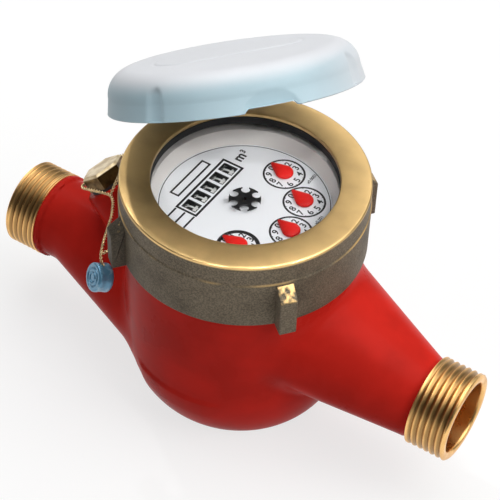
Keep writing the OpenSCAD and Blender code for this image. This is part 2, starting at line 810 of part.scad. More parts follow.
module first_gear() {
    color("white")
        on_dial() {
            arbor(first_at, floor_pivot_z, arbor_top);
            translate(first_at) {
                spur(first_t, bearing(first_at, star_at) + 180 / first_t, level(3));
                spur(pinion_t, bearing(first_at, pointer_at(3)), level(0));
            }
        }
}

module idler_gear(i) {
    at = idler_at(i);
    from = pointer_at(i + 1);
    to = pointer_at(i);
    z0 = idler_stands[i] ? floor_pivot_z : level(min(mid_level[i], slow_level[i]));
    z1 = idler_stands[i] ? level(mid_level[i]) + gear_h : arbor_top;
    color("white")
        on_dial() {
            arbor(at, z0, z1);
            translate(at) {
                spur(mid_t, bearing(at, from) + 180 / mid_t, level(mid_level[i]));
                spur(pinion_t, bearing(at, to), level(slow_level[i]));
            }
        }
}
module idler_gear_1() { idler_gear(0); }
module idler_gear_2() { idler_gear(1); }
module idler_gear_3() { idler_gear(2); }

module pointer_gear(i) {
    at = pointer_at(i);
    from = i == 3 ? first_at : idler_at(i);
    color("white")
        on_dial() {
            arbor(at, floor_pivot_z, hand_z + hand_t - 0.6);
            translate(at) {
                spur(slow_t, bearing(at, from) + 180 / slow_t, level(slow_level[i]));
                if (i > 0) spur(pinion_t, bearing(at, idler_at(i - 1)), level(pinion_level[i]));
            }
        }
}
module pointer_gear_1() { pointer_gear(0); }
module pointer_gear_2() { pointer_gear(1); }
module pointer_gear_3() { pointer_gear(2); }
module pointer_gear_4() { pointer_gear(3); }

// Teardrop hand that points to the top of the dial
module pointer(i) {
    at = pointer_at(i);
    hub_r = 2.9;
    tip_w = 0.6;
    cap_t = 0.4;
    color("red")
        on_dial() translate([at[0], at[1], hand_z])
            difference() {
                union() {
                    cylinder(r = hub_r, h = hand_t);
                    linear_extrude(hand_t)
                        polygon([polar(hub_r, 26), [tip_w / 2, pointer_len], [-tip_w / 2, pointer_len],
                            polar(hub_r, 154)]);
                }
                translate([0, 0, -cut]) cylinder(r = arbor_r + press_gap, h = cut + hand_t - cap_t);
            }
}
module pointer_1() { pointer(0); }
module pointer_2() { pointer(1); }
module pointer_3() { pointer(2); }
module pointer_4() { pointer(3); }

// Lid

module lid_shell() {
    top = lid_z + lid_h;
    outer_r = lid_r - lid_draft;
    outer = arc([outer_r - lid_round, top - lid_round], lid_round, 0, 90, 10);
    inner_round = lid_round - lid_wall;
    inner = arc([outer_r - lid_round, top - lid_round], inner_round, 90, 0, 10);
    rotate_extrude($fn = 96)
        polygon(concat([[lid_r - lid_wall, lid_z], [lid_r, lid_z]], outer, [[0, top], [0, top - lid_wall]],
            inner));
}

// Long oval panel raised on the top of the lid
module lid_panel(z) {
    panel_l = 50;
    panel_w = 19;
    panel_t = 0.7;
    sink = 0.3;
    straight = panel_l - panel_w;
    for (s = [-1, 1])
        translate([0, s * straight / 2, z - sink]) cylinder(r = panel_w / 2, h = panel_t + sink);
    translate([-panel_w / 2, -straight / 2, z - sink]) cube([panel_w, straight, panel_t + sink]);
}

// Arm from the lid's skirt down to the hinge pin
module lid_arm() {
    arm_w = knuckle_w - 2 * side_gap;
    arm_in = ring_r + 1.2;
    arm_out = hinge_reach + knuckle_r;
    arm_top = lid_z + 5;
    arm_slope = 3;
    root_x = lid_r - 1.2;
    translate([0, arm_w / 2, 0]) rotate([90, 0, 0]) linear_extrude(arm_w)
        polygon([[arm_in, hinge_z], [arm_out, hinge_z], [arm_out, lid_z], [arm_out - arm_slope, arm_top],
            [root_x, arm_top], [root_x, lid_z], [arm_in, lid_z]]);
    translate([hinge_reach, 0, hinge_z]) rotate([90, 0, 0])
        cylinder(r = knuckle_r, h = arm_w, center = true);
}

module lid() {
    notch_depth = 7;
    grip_depth = 1.4;
    color("lightsteelblue")
        opened_lid()
            difference() {
                union() {
                    lid_shell();
                    lid_panel(lid_z + lid_h);
                    lid_arm();
                }
                translate([hinge_reach, 0, hinge_z]) rotate([90, 0, 0])
                    cylinder(r = pin_r + run_gap, h = knuckle_w + 2 * cut, center = true);
                translate([-lid_r - cut, -notch_w / 2, lid_z - cut])
                    cube([notch_depth, notch_w, notch_h + cut]);
                for (s = [-1, 1])
                    rotate([0, 0, 180 + s * grip_turn])
                        translate([lid_r + grip_r - grip_depth, 0, lid_z - cut])
                            cylinder(r = grip_r, h = grip_h + cut);
            }
}

// Seal

module seal_wire() {
    color("khaki") wire(seal_wire_route);
}
module far_wire() {
    color("khaki") wire(far_wire_route);
}
module lug_wire() {
    color("khaki") wire(lug_wire_route);
}

module seal() {
    face_turn = atan2(seal_dir[1], seal_dir[0]);
    face_lean = acos(seal_dir[2] / norm(seal_dir));
    rim = 1;
    groove = 0.8;
    groove_depth = 0.4;
    color("steelblue")
        translate(seal_at) rotate([0, face_lean, face_turn])
            difference() {
                cylinder(r = seal_r, h = seal_t, center = true);
                ring(seal_r - rim, seal_r - rim - groove, seal_t / 2 - groove_depth, seal_t / 2 + cut);
            }
}

meter_body();
inlet_strainer();
chamber_basket();
pivot_pin();
chamber_cover();
pressure_plate();
body_seal();
regulating_screw();
plug_washer();
adjuster_plug();
register_can();
train_plate();
dial_plate();
number_shaft();
bezel_ring();
glass();
glass_gasket();
register_ring();
hinge_pin();
impeller();
drive_magnet();
follower_arbor();
follower_magnet();
star_indicator();
first_gear();
idler_gear_1();
idler_gear_2();
idler_gear_3();
pointer_gear_1();
pointer_gear_2();
pointer_gear_3();
pointer_gear_4();
pointer_1();
pointer_2();
pointer_3();
pointer_4();
number_wheel_1();
number_wheel_2();
number_wheel_3();
number_wheel_4();
number_wheel_5();
lid();
seal_wire();
far_wire();
lug_wire();
seal();
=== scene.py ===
"""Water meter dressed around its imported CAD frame.

Helper functions work in millimetres in the CAD frame, and put() turns their points into metres.
"""

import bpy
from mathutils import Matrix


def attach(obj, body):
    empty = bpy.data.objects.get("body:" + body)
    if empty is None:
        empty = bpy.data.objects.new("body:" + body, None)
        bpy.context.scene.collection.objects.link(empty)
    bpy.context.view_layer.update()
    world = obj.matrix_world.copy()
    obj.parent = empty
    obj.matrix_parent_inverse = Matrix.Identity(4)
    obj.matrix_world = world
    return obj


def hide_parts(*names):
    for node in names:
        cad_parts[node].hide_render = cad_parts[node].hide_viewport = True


bl_info = {
    "name": "Water Meter",
    "version": (1, 0, 0),
    "blender": (4, 5, 0),
    "location": "3D View > Sidebar > Meter",
    "description": "Builds a dry-dial water meter around its CAD frame",
    "category": "Object",
}

import bmesh
import bpy
import numpy as np
from bpy.props import FloatProperty, FloatVectorProperty, PointerProperty
from mathutils import Matrix

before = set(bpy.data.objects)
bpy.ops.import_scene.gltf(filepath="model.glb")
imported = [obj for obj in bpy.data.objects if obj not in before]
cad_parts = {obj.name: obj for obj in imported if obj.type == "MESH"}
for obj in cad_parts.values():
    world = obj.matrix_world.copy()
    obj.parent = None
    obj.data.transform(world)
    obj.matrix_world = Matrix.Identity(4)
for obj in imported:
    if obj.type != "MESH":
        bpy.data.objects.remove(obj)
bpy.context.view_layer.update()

MM = 0.001
TURN = 2 * np.pi

# Distances in metres within which points are merged and slivers taken out
WELD, SLIVER = 1e-7, 1e-8

# Heights and places of the CAD frame, in millimetres
AXIS_Z = 34.0
OUTLET_END, OUTLET_THREAD, OUTLET_NECK = 93.0, 15.0, 2.0
INLET_END, INLET_THREAD, INLET_NECK = 97.0, 13.4, 7.6
BEAD_R, BEAD_LONG = 16.4, 2.4
THREAD_R, NECK_R, NOZZLE_END_R, BORE_R, THROAT_R, BORE_LEN = 16.62, 14.9, 15.2, 13.2, 11.5, 26.0
BOWL_TOP = 71.0
RING_LOW, RING_LEDGE, RING_LIP, RING_TOP = 71.5, 90.5, 97.4, 99.0
LUG_LOW = 70.8
DIAL_Z = 86.0
LID_Z = 99.3
HINGE_TURN, LID_OPEN = np.radians(141), np.radians(33)
HINGE_X, HINGE_Z = 49.5, 91.2
PLUG_SEAT = np.array([-57.5, 0.0, 65.0])
PLUG_LEAN = np.radians(40)
SEAL_AT = np.array([-33.8, -39.0, 62.8])
SEAL_DIR = np.array([-0.5, -0.77, 0.4])
WHEEL_Y, WHEEL_Z, WHEEL_R, WHEEL_STEP = 14.4, 79.3, 5.2, 5.6
POINTER_CIRCLE = 20.6
POINTER_TURNS = np.radians([-9, -53, -97, -153])
RING_R, RING_UPPER_R, RING_BORE_R, RING_LIP_R, RING_ROOT_R = 43.5, 43.15, 40.0, 32.3, 42.2
SLAB_SPACING = 0.8

# Casting: bowl, ledge at the front, nozzles and the plug's boss, in millimetres and degrees
BOWL_CORE_R, FOOT_WIDE, FOOT_TALL = 26.8, 15.0, 30.0
LEDGE_PROUD, LEDGE_TOP, LEDGE_EDGE, LEDGE_FOOT, LEDGE_FADE = 0.7, 27, 1.2, 6, 12
LEDGE_FROM, LEDGE_FROM_FADE, LEDGE_TO, LEDGE_TO_FADE = -121, 7, -64, 12
NOZZLES = ((1, 28.0, OUTLET_END - OUTLET_THREAD - OUTLET_NECK, 30.3, 22.4, 14.0),
           (-1, 27.24, INLET_END - INLET_THREAD - INLET_NECK, 31.0, 23.4, -6.6))
BOSS_R, BOSS_EDGE, BOSS_DEEP = 10.5, 1.4, 28
INLET_NECK_R, NECK_FILLET = NOZZLE_END_R + 0.3, 0.6
SLEEVE_LEAD, SLEEVE_ROOM, BORE_FOOT = 1.2, 0.5, 46
CASTING_LOW, CASTING_HIGH = (-86.3, -44.3, -1.7), (79.4, 44.4, 77.4)

# Stage: the soft box and the room that reflections see, the floor in millimetres, the camera in metres
SKY_TINT = (0.94, 0.98, 1.0, 1)
BOX_WAY, BOX_EDGE, ROOM_LEVELS = (-0.316, 0.51, 0.8), (0.56, 0.8), (0.06, 0.9)
FLOOR_HALF, FLOOR_POINTS, FLOOR_Z = 3000.0, 13, -0.02
CAMERA_LENS, CAMERA_SENSOR, CAMERA_NEAR = 121.8, 36.0, 0.01
CAMERA_TURNS, CAMERA_AT = np.radians([31.52, 45.67, 2.27]), (0.22058, -0.35498, 0.49115)

# Wire routes, in millimetres
SEAL_ROUTE = [(-64.9, 0, 64.3), (-64.9, -2, 64.3), (-65.3, -4.5, 64.2), (-65.2, -7.2, 64.8),
              (-63.4, -9, 66), (-60.2, -9.6, 67.5), (-57, -9.8, 68.6), (-53.8, -9.8, 69.5),
              (-50.5, -10, 70.2), (-47.5, -12.5, 70.9), (-45, -16, 71.2), (-43, -19.5, 71.1),
              (-41.5, -23, 70.9), (-40, -26.5, 70.8), (-38.5, -30, 70.5), (-37.2, -32.6, 70.1),
              (-36, -35, 69.6), (-34.6, -36.8, 68.8), (-33.2, -37.6, 67.2)]
FAR_ROUTE = [(-64.9, 0, 64.3), (-64.9, 2, 64.3), (-65.2, 4.5, 64.1), (-65.4, 7, 64.4),
             (-64.2, 9, 65.8), (-61, 10, 68.7), (-57.4, 9.6, 72), (-54.2, 7.4, 74.6),
             (-52.4, 3.6, 75.8), (-51.8, -0.5, 75.4), (-51.4, -4, 73.8), (-51, -7, 72),
             (-50.6, -9.5, 70.4)]
LUG_ROUTE = [(-30, -35.2, 72.5), (-31.6, -33.9, 72.5), (-33, -33.3, 72), (-34.4, -33.7, 71),
             (-35.6, -34.6, 69.9)]


# Shells: whole arrays of points with the quads and triangles that span them

class Shell:
    """Points in millimetres with the quads, triangles and flat faces of many sides that span them."""

    def __init__(self, points, quads=(), tris=(), flats=()):
        self.points = np.asarray(points, float).reshape(-1, 3)
        self.quads = np.asarray(quads, int).reshape(-1, 4)
        self.tris = np.asarray(tris, int).reshape(-1, 3)
        self.flats = [np.asarray(f, int) for f in flats]

    def outward(self):
        """Turns the faces round where the volume they enclose, a sum of tetrahedra, is negative."""
        fans = [self.quads[:, [0, 1, 2]], self.quads[:, [0, 2, 3]], self.tris]
        fans += [np.stack([np.full(len(f) - 2, f[0]), f[1:-1], f[2:]], 1) for f in self.flats]
        a, b, c = (self.points[np.concatenate(fans)[:, i]] for i in range(3))
        if np.einsum("ij,ij->i", a, np.cross(b, c)).sum() < 0:
            self.quads = self.quads[:, ::-1]
            self.tris = self.tris[:, ::-1]
            self.flats = [f[::-1] for f in self.flats]
        return self

    def moved(self, turn=np.eye(3), shift=(0, 0, 0)):
        """The shell turned by a 3 x 3 matrix, then shifted."""
        points = self.points @ np.asarray(turn).T + np.asarray(shift, float)
        return Shell(points, self.quads, self.tris, self.flats)

    def finer(self):
        """Each triangle cut in four at the middles of its sides."""
        a, b, c = (self.points[self.tris[:, i]] for i in range(3))
        corners = np.stack([a, b, c, (a + b) / 2, (b + c) / 2, (c + a) / 2], 1)
        split = np.array([[0, 3, 5], [3, 1, 4], [5, 4, 2], [3, 4, 5]])
        return Shell(corners, tris=split[None] + 6 * np.arange(len(a))[:, None, None])


def joined(shells):
    """One shell of several, with the face numbers of each raised by the points before it."""
    starts = np.cumsum([0] + [len(s.points) for s in shells[:-1]])
    return Shell(np.concatenate([s.points for s in shells]),
                 np.concatenate([s.quads + k for s, k in zip(shells, starts)]),
                 np.concatenate([s.tris + k for s, k in zip(shells, starts)]),
                 [f + k for s, k in zip(shells, starts) for f in s.flats])


def lattice(rows, cols, wrap_rows=False, wrap_cols=False):
    """Quads of a lattice of points, row by row, each wrap joining the last row or column to the first."""
    i, j = np.meshgrid(np.arange(rows if wrap_rows else rows - 1),
                       np.arange(cols if wrap_cols else cols - 1), indexing="ij")
    i2, j2 = (i + 1) % rows, (j + 1) % cols
    return np.stack([i * cols + j, i * cols + j2, i2 * cols + j2, i2 * cols + j], -1).reshape(-1, 4)


def capped(loops):
    """Closed skin through loops of points (n, m, 3), with each end drawn to the middle of its loop."""
    loops = np.concatenate([np.broadcast_to(loops[:1].mean(1, keepdims=True), loops[:1].shape), loops,
                            np.broadcast_to(loops[-1:].mean(1, keepdims=True), loops[-1:].shape)])
    return Shell(loops, lattice(len(loops), loops.shape[1], wrap_cols=True)).outward()


def unit(value):
    """A value held between 0 and 1."""
    return np.clip(value, 0, 1)


def full_turn(steps):
    """Equal steps of one turn, without the last, which is the first again."""
    return np.linspace(0, TURN, steps, endpoint=False)


def rays(a):
    """Unit vectors of a plane at angles a."""
    return np.stack([np.cos(a), np.sin(a)], -1)


def about_z(radius, height, a):
    """Points at a radius and a height, turned by a about Z, in the shape that the three make together."""
    return np.stack(np.broadcast_arrays(radius * np.cos(a), radius * np.sin(a), height), -1)


def raised(flat, z):
    """Points of a plane with a height added to them."""
    return np.concatenate([flat, np.broadcast_to(z, flat.shape[:-1] + (1,))], -1)


def revolved(profile, steps):
    """Ring of revolution about Z: a closed loop of (radius, height) carried round in equal steps."""
    profile = np.asarray(profile, float)
    points = about_z(profile[:, 0], profile[:, 1], full_turn(steps)[:, None])
    return Shell(points, lattice(steps, len(profile), True, True)).outward()


def rounded(corners, radii, steps=6):
    """Outline through corners, each cut by an arc between the points a distance from it along both sides.

    The arc is the quadratic curve (1-t)^2 A + 2 t (1-t) C + t^2 B between the two cut points A and B.
    """
    c = np.asarray(corners, float)
    r = np.broadcast_to(np.asarray(radii, float), len(c))[:, None]
    before, after = np.roll(c, 1, 0) - c, np.roll(c, -1, 0) - c
    a = c + before / np.linalg.norm(before, axis=1, keepdims=True) * r
    b = c + after / np.linalg.norm(after, axis=1, keepdims=True) * r
    t = np.linspace(0, 1, steps)[None, :, None]
    arcs = (1 - t) ** 2 * a[:, None] + 2 * t * (1 - t) * c[:, None] + t ** 2 * b[:, None]
    return arcs.reshape(-1, c.shape[1])


def spread(outline, spacing):
    """Points at an even spacing along a closed outline of straight sides, with its corners kept."""
    ends = np.roll(outline, -1, 0)
    counts = np.maximum(1, np.ceil(np.linalg.norm(ends - outline, axis=1) / spacing)).astype(int)
    side = np.repeat(np.arange(len(outline)), counts)
    first = np.repeat(np.cumsum(counts) - counts, counts)
    t = ((np.arange(len(side)) - first) / counts[side])[:, None]
    return outline[side] * (1 - t) + ends[side] * t


def outline_normals(outline):
    """Unit normals, pointing out, of a closed outline that runs anticlockwise."""
    d = np.roll(outline, -1, 0) - np.roll(outline, 1, 0)
    n = np.stack([d[:, 1], -d[:, 0]], 1)
    return n / np.linalg.norm(n, axis=1, keepdims=True)


def plate(outline, low, high, edge, steps=5):
    """Plate between two heights with soft edges.

    Over each edge the outline is drawn in by edge (1 - sin a) while it rises by edge (1 - cos a).
    """
    a = np.linspace(0, np.pi / 2, steps)
    inset = np.concatenate([edge * (1 - np.sin(a)), edge * (1 - np.cos(a))])
    z = np.concatenate([low + edge * (1 - np.cos(a)), high - edge * (1 - np.sin(a))])
    flat = outline[None] - inset[:, None, None] * outline_normals(outline)[None]
    points = raised(flat, z[:, None, None])
    rows, cols = points.shape[:2]
    ends = [np.arange(cols)[::-1], np.arange(cols) + (rows - 1) * cols]
    return Shell(points, lattice(rows, cols, wrap_cols=True), flats=ends).outward()


def slab(outline, half, edge):
    """Plate that stands upright: an outline in the XZ plane, thickened by a half to both sides."""
    upright = np.array([[1, 0, 0], [0, 0, -1], [0, 1, 0.0]])
    return plate(spread(outline, SLAB_SPACING), -half, half, edge).moved(upright).outward()


def bars(starts, ends, width, low, high):
    """Flat bars between pairs of points: eight corners each, half a width to both sides."""
    p, q = np.asarray(starts, float), np.asarray(ends, float)
    d = (q - p) / np.linalg.norm(q - p, axis=1, keepdims=True)
    side = np.stack([-d[:, 1], d[:, 0]], 1) * width / 2
    corners = np.stack([p - side, q - side, q + side, p + side], 1)
    layers = np.stack([raised(corners, z) for z in (low, high)], 1)
    box = np.array([[3, 2, 1, 0], [4, 5, 6, 7], [0, 1, 5, 4], [1, 2, 6, 5], [2, 3, 7, 6], [3, 0, 4, 7]])
    quads = box[None] + 8 * np.arange(len(p))[:, None, None]
    return Shell(layers, quads)


def hoop(centre, radius, width, low, high, steps=95):
    """Flat hoop: the four corners of its cross section revolved about a centre."""
    inner, outer = radius - width / 2, radius + width / 2
    section = [(inner, low), (outer, low), (outer, high), (inner, high)]
    return revolved(section, steps).moved(shift=(*centre, 0))


def dome(outline, low, high, wall, steps=10):
    """Crowned cap: the outline shrinks to its middle by cos a while its height grows by sin a."""
    middle = outline.mean(0)
    a = np.linspace(0, np.pi / 2, steps)
    k = np.concatenate([[1.0], np.cos(a)])
    z = np.concatenate([[low], low + wall + (high - low - wall) * np.sin(a)])
    flat = middle + (outline - middle)[None] * k[:, None, None]
    return capped(raised(flat, z[:, None, None]))


def smooth_route(points, spacing, samples=24):
    """Catmull-Rom curve through the points of a route, sampled at about a spacing, and its length."""
    p = np.asarray(points, float)
    p = np.concatenate([2 * p[:1] - p[1:2], p, 2 * p[-1:] - p[-2:-1]])
    t = np.linspace(0, 1, samples, endpoint=False)[None, :, None]
    a, b, c, d = (p[i:len(p) - 3 + i][:, None] for i in range(4))
    curve = 0.5 * (2 * b + (c - a) * t + (2 * a - 5 * b + 4 * c - d) * t ** 2
                   + (3 * b - a - 3 * c + d) * t ** 3)
    curve = np.concatenate([curve.reshape(-1, 3), p[-2:-1]])
    s = np.concatenate([[0], np.cumsum(np.linalg.norm(np.diff(curve, axis=0), axis=1))])
    even = np.linspace(0, s[-1], max(3, int(round(s[-1] / spacing)) + 1))
    return np.stack([np.interp(even, s, curve[:, i]) for i in range(3)], 1), s[-1]


def axes_along(path, up=(0.3, 0.2, 1.0)):
    """Tangents of a path with two unit normals, the first square to the tangent and a fixed direction."""
    t = np.gradient(path, axis=0)
    t /= np.linalg.norm(t, axis=1, keepdims=True)
    u = np.cross(t, up)
    u /= np.linalg.norm(u, axis=1, keepdims=True)
    return t, u, np.cross(t, u)


def strand(path, along, radius, offset, pitch, phase, sides=10):
    """Tube about a helix: the path plus offset (u cos p + v sin p), p turning once per pitch of length."""
    _, u, v = axes_along(path)
    p = (TURN * along / pitch + phase)[:, None]
    line = path + offset * (u * np.cos(p) + v * np.sin(p))
    _, u, v = axes_along(line)
    k = full_turn(sides)[None, :, None]
    return capped(line[:, None] + radius * (u[:, None] * np.cos(k) + v[:, None] * np.sin(k)))


def frame_to(direction, side=(0.0, 0.0, 1.0)):
    """Matrix whose third column is a direction and whose first is square to it and a side direction."""
    z = np.asarray(direction, float) / np.linalg.norm(direction)
    x = np.cross(side, z)
    x /= np.linalg.norm(x)
    return np.stack([x, np.cross(z, x), z], 1)


def spin_z(angle):
    """Turn about Z."""
    c, s = np.cos(angle), np.sin(angle)
    return np.array([[c, -s, 0], [s, c, 0], [0, 0, 1.0]])


def spin_y(angle):
    """Turn about Y."""
    c, s = np.cos(angle), np.sin(angle)
    return np.array([[c, 0, s], [0, 1, 0], [-s, 0, c]])


def placed(turn, spot):
    """Matrix of an object from its turn and its place."""
    whole = np.eye(4)
    whole[:3, :3], whole[:3, 3] = turn, spot
    return Matrix(whole.tolist())


ON_DIAL = np.array([[0, -1, 0], [1, 0, 0], [0, 0, 1.0]])
SQUARE = np.array([(-1, -1), (1, -1), (1, 1), (-1, 1)])
AT_HINGE = spin_z(HINGE_TURN)


def opened(shell):
    """A shell of the closed cap, in the hinge's own frame, swung open about the pin."""
    pin = np.array([HINGE_X, 0, HINGE_Z])
    return shell.moved(shift=-pin).moved(spin_y(LID_OPEN), pin).moved(AT_HINGE)


def put(name, shell, material, body="root", nodes=(), slot=None, flat=False, marks=None):
    """Makes a mesh object of a shell, welds its seams and poles, and ties it to the frame.

    marks holds values per point, kept as attributes of the mesh before its doubles are merged.
    """
    mesh = bpy.data.meshes.new(name)
    faces = shell.quads.tolist() + shell.tris.tolist() + [f.tolist() for f in shell.flats]
    mesh.from_pydata((shell.points * MM).tolist(), [], faces)
    for key, values in (marks or {}).items():
        values = np.asarray(values, np.float32).ravel()
        mesh.attributes.new(key, "FLOAT", "POINT").data.foreach_set("value", values)
    work = bmesh.new()
    work.from_mesh(mesh)
    bmesh.ops.remove_doubles(work, verts=work.verts, dist=WELD)
    bmesh.ops.dissolve_degenerate(work, edges=work.edges, dist=SLIVER)
    work.to_mesh(mesh)
    work.free()
    if not flat:
        mesh.shade_smooth()
    mesh.materials.append(material)
    piece = bpy.data.objects.new(name, mesh)
    bpy.context.scene.collection.objects.link(piece)
    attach(piece, body)
    if nodes:
        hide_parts(*nodes)
    return piece


def glyphs(text, size, bold, thick):
    """A line of text as a thin solid, centred, in the XY plane with its foot at z 0."""
    curve = bpy.data.curves.new("glyphs", "FONT")
    curve.body = text
    curve.size = size
    curve.offset = bold
    curve.extrude = thick / 2
    curve.align_x = "CENTER"
    curve.align_y = "CENTER"
    curve.resolution_u = 4
    holder = bpy.data.objects.new("glyphs", curve)
    bpy.context.scene.collection.objects.link(holder)
    bpy.context.view_layer.update()
    final = holder.evaluated_get(bpy.context.evaluated_depsgraph_get())
    mesh = bpy.data.meshes.new_from_object(final)
    mesh.calc_loop_triangles()
    points = np.zeros(len(mesh.vertices) * 3)
    mesh.vertices.foreach_get("co", points)
    tris = np.zeros(len(mesh.loop_triangles) * 3, int)
    mesh.loop_triangles.foreach_get("vertices", tris)
    bpy.data.objects.remove(holder)
    bpy.data.curves.remove(curve)
    bpy.data.meshes.remove(mesh)
    points = points.reshape(-1, 3)
    middle = (points.min(0) + points.max(0)) / 2
    return Shell(points - middle + [0, 0, thick / 2], tris=tris)


# Shader groups that several finishes share

# Inputs and output of a mix node for each kind of value
MIX_SOCKETS = {"FLOAT": (2, 3, 0), "RGBA": (6, 7, 2)}


def new_group(name, inputs, outputs):
    """Empty shader node group with named sockets, and its input and output nodes."""
    group = bpy.data.node_groups.new(name, "ShaderNodeTree")
    for label, kind, value in inputs:
        socket = group.interface.new_socket(name=label, in_out="INPUT", socket_type=kind)
        if value is not None:
            socket.default_value = value
    for label, kind in outputs:
        group.interface.new_socket(name=label, in_out="OUTPUT", socket_type=kind)
    return group, group.nodes.new("NodeGroupInput"), group.nodes.new("NodeGroupOutput")


def mottle_group():
    """Cloudy change between two colours: noise of several octaves, eased by a range, with its mask too."""
    name = "Mottle"
    if name in bpy.data.node_groups:
        return bpy.data.node_groups[name]
    group, given, result = new_group(
        name,
        [("Vector", "NodeSocketVector", None), ("Scale", "NodeSocketFloat", 80.0),
         ("Low", "NodeSocketFloat", 0.35), ("High", "NodeSocketFloat", 0.65),
         ("Dark", "NodeSocketColor", (0, 0, 0, 1)), ("Light", "NodeSocketColor", (1, 1, 1, 1))],
        [("Color", "NodeSocketColor"), ("Mask", "NodeSocketFloat")])
    noise = group.nodes.new("ShaderNodeTexNoise")
    noise.inputs["Detail"].default_value = 4.0
    ease = group.nodes.new("ShaderNodeMapRange")
    ease.interpolation_type = "SMOOTHSTEP"
    mix = group.nodes.new("ShaderNodeMix")
    mix.data_type = "RGBA"
    link = group.links.new
    link(given.outputs["Vector"], noise.inputs["Vector"])
    link(given.outputs["Scale"], noise.inputs["Scale"])
    link(noise.outputs["Fac"], ease.inputs["Value"])
    link(given.outputs["Low"], ease.inputs["From Min"])
    link(given.outputs["High"], ease.inputs["From Max"])
    link(ease.outputs["Result"], mix.inputs["Factor"])
    link(given.outputs["Dark"], mix.inputs[6])
    link(given.outputs["Light"], mix.inputs[7])
    link(mix.outputs[2], result.inputs["Color"])
    link(ease.outputs["Result"], result.inputs["Mask"])
    return group


def grain_group():
    """Height of a grainy surface: fine noise plus a share of coarse noise."""
    name = "Grain"
    if name in bpy.data.node_groups:
        return bpy.data.node_groups[name]
    group, given, result = new_group(
        name,
        [("Vector", "NodeSocketVector", None), ("Fine", "NodeSocketFloat", 900.0),
         ("Coarse", "NodeSocketFloat", 150.0), ("Share", "NodeSocketFloat", 0.5)],
        [("Height", "NodeSocketFloat")])
    link = group.links.new
    heights = []
    for label in ("Fine", "Coarse"):
        noise = group.nodes.new("ShaderNodeTexNoise")
        noise.inputs["Detail"].default_value = 3.0
        link(given.outputs["Vector"], noise.inputs["Vector"])
        link(given.outputs[label], noise.inputs["Scale"])
        heights.append(noise.outputs["Fac"])
    mix = group.nodes.new("ShaderNodeMix")
    link(given.outputs["Share"], mix.inputs["Factor"])
    link(heights[0], mix.inputs[2])
    link(heights[1], mix.inputs[3])
    link(mix.outputs[0], result.inputs["Height"])
    return group


class Finish:
    """A procedural material around one Principled shader, with Object coordinates at hand.

    A method that takes values also takes the outputs of nodes, and names of sockets have _ for a space.
    """

    def __init__(self, name, **sockets):
        self.material = bpy.data.materials.new(name)
        self.material.use_nodes = True
        self.tree = self.material.node_tree
        self.shader = next(n for n in self.tree.nodes if n.type == "BSDF_PRINCIPLED")
        self.place = self.node("ShaderNodeTexCoord").outputs["Object"]
        for key, value in sockets.items():
            self.put(key, value)

    def feed(self, value, socket):
        """Links an output to a socket, or sets the socket's own value."""
        if isinstance(value, bpy.types.NodeSocket):
            self.tree.links.new(value, socket)
        else:
            socket.default_value = value

    def put(self, key, value):
        """Feeds a socket of the shader."""
        self.feed(value, self.shader.inputs[key.replace("_", " ")])

    def node(self, kind, **inputs):
        """A node of the material's tree with its inputs fed."""
        made = self.tree.nodes.new(kind)
        for key, value in inputs.items():
            self.feed(value, made.inputs[key.replace("_", " ")])
        return made

    def group(self, tree, **inputs):
        """A placed shader group on Object coordinates."""
        made = self.node("ShaderNodeGroup")
        made.node_tree = tree
        for key, value in {"Vector": self.place, **inputs}.items():
            self.feed(value, made.inputs[key])
        return made.outputs

    def mottle(self, dark, light, scale, low=0.35, high=0.65):
        """The shared cloudy colour with this finish's own colours: the colour, and its mask."""
        made = self.group(mottle_group(), Scale=scale, Low=low, High=high,
                          Dark=(*dark, 1), Light=(*light, 1))
        return made["Color"], made["Mask"]

    def ranged(self, value, low, high, to_low=0.0, to_high=1.0):
        """A value taken from between two limits to between two others, and held beyond them."""
        return self.node("ShaderNodeMapRange", Value=value, From_Min=low, From_Max=high,
                         To_Min=to_low, To_Max=to_high).outputs["Result"]

    def spread(self, mask, low, high):
        """A mask from 0 to 1 taken to a range of values."""
        return self.ranged(mask, 0.0, 1.0, low, high)

    def mixed(self, mask, a, b, kind="RGBA", blend="MIX"):
        """Two colours, or two plain values, mixed by a mask."""
        made = self.node("ShaderNodeMix")
        made.data_type, made.blend_type = kind, blend
        first, second, out = MIX_SOCKETS[kind]
        for value, i in ((mask, 0), (a, first), (b, second)):
            self.feed(value, made.inputs[i])
        return made.outputs[out]

    def math(self, operation, a, b=0.0):
        """Two values put together by the operation named."""
        made = self.node("ShaderNodeMath")
        made.operation = operation
        self.feed(a, made.inputs[0])
        self.feed(b, made.inputs[1])
        return made.outputs[0]

    def hypot(self, a, b):
        """Length of the vector (a, b)."""
        squares = [self.math("POWER", value, 2.0) for value in (a, b)]
        return self.math("SQRT", self.math("ADD", *squares))

    def along(self, way):
        """How far a point lies along a direction: the dot product of the two."""
        made = self.node("ShaderNodeVectorMath")
        made.operation = "DOT_PRODUCT"
        self.feed(self.place, made.inputs[0])
        self.feed(way, made.inputs[1])
        return made.outputs["Value"]

    def mark(self, name):
        """Values that the mesh keeps with its points."""
        made = self.node("ShaderNodeAttribute")
        made.attribute_name = name
        return made.outputs["Fac"]

    def bump(self, height, depth, strength):
        """Puts a height through a bump of a depth in metres to the shader's normal."""
        made = self.node("ShaderNodeBump", Height=height, Distance=depth, Strength=strength)
        self.put("Normal", made.outputs["Normal"])

    def grain(self, fine, coarse, share, depth, strength):
        """The shared grain as a bump."""
        made = self.group(grain_group(), Fine=fine, Coarse=coarse, Share=share)
        self.bump(made["Height"], depth, strength)

    def colour(self, value):
        """Feeds the base colour."""
        self.put("Base_Color", value)

    def rough(self, value):
        """Feeds the roughness."""
        self.put("Roughness", value)


def shade(colour, factor):
    """A colour made darker or lighter."""
    return tuple(min(1.0, c * factor) for c in colour[:3])


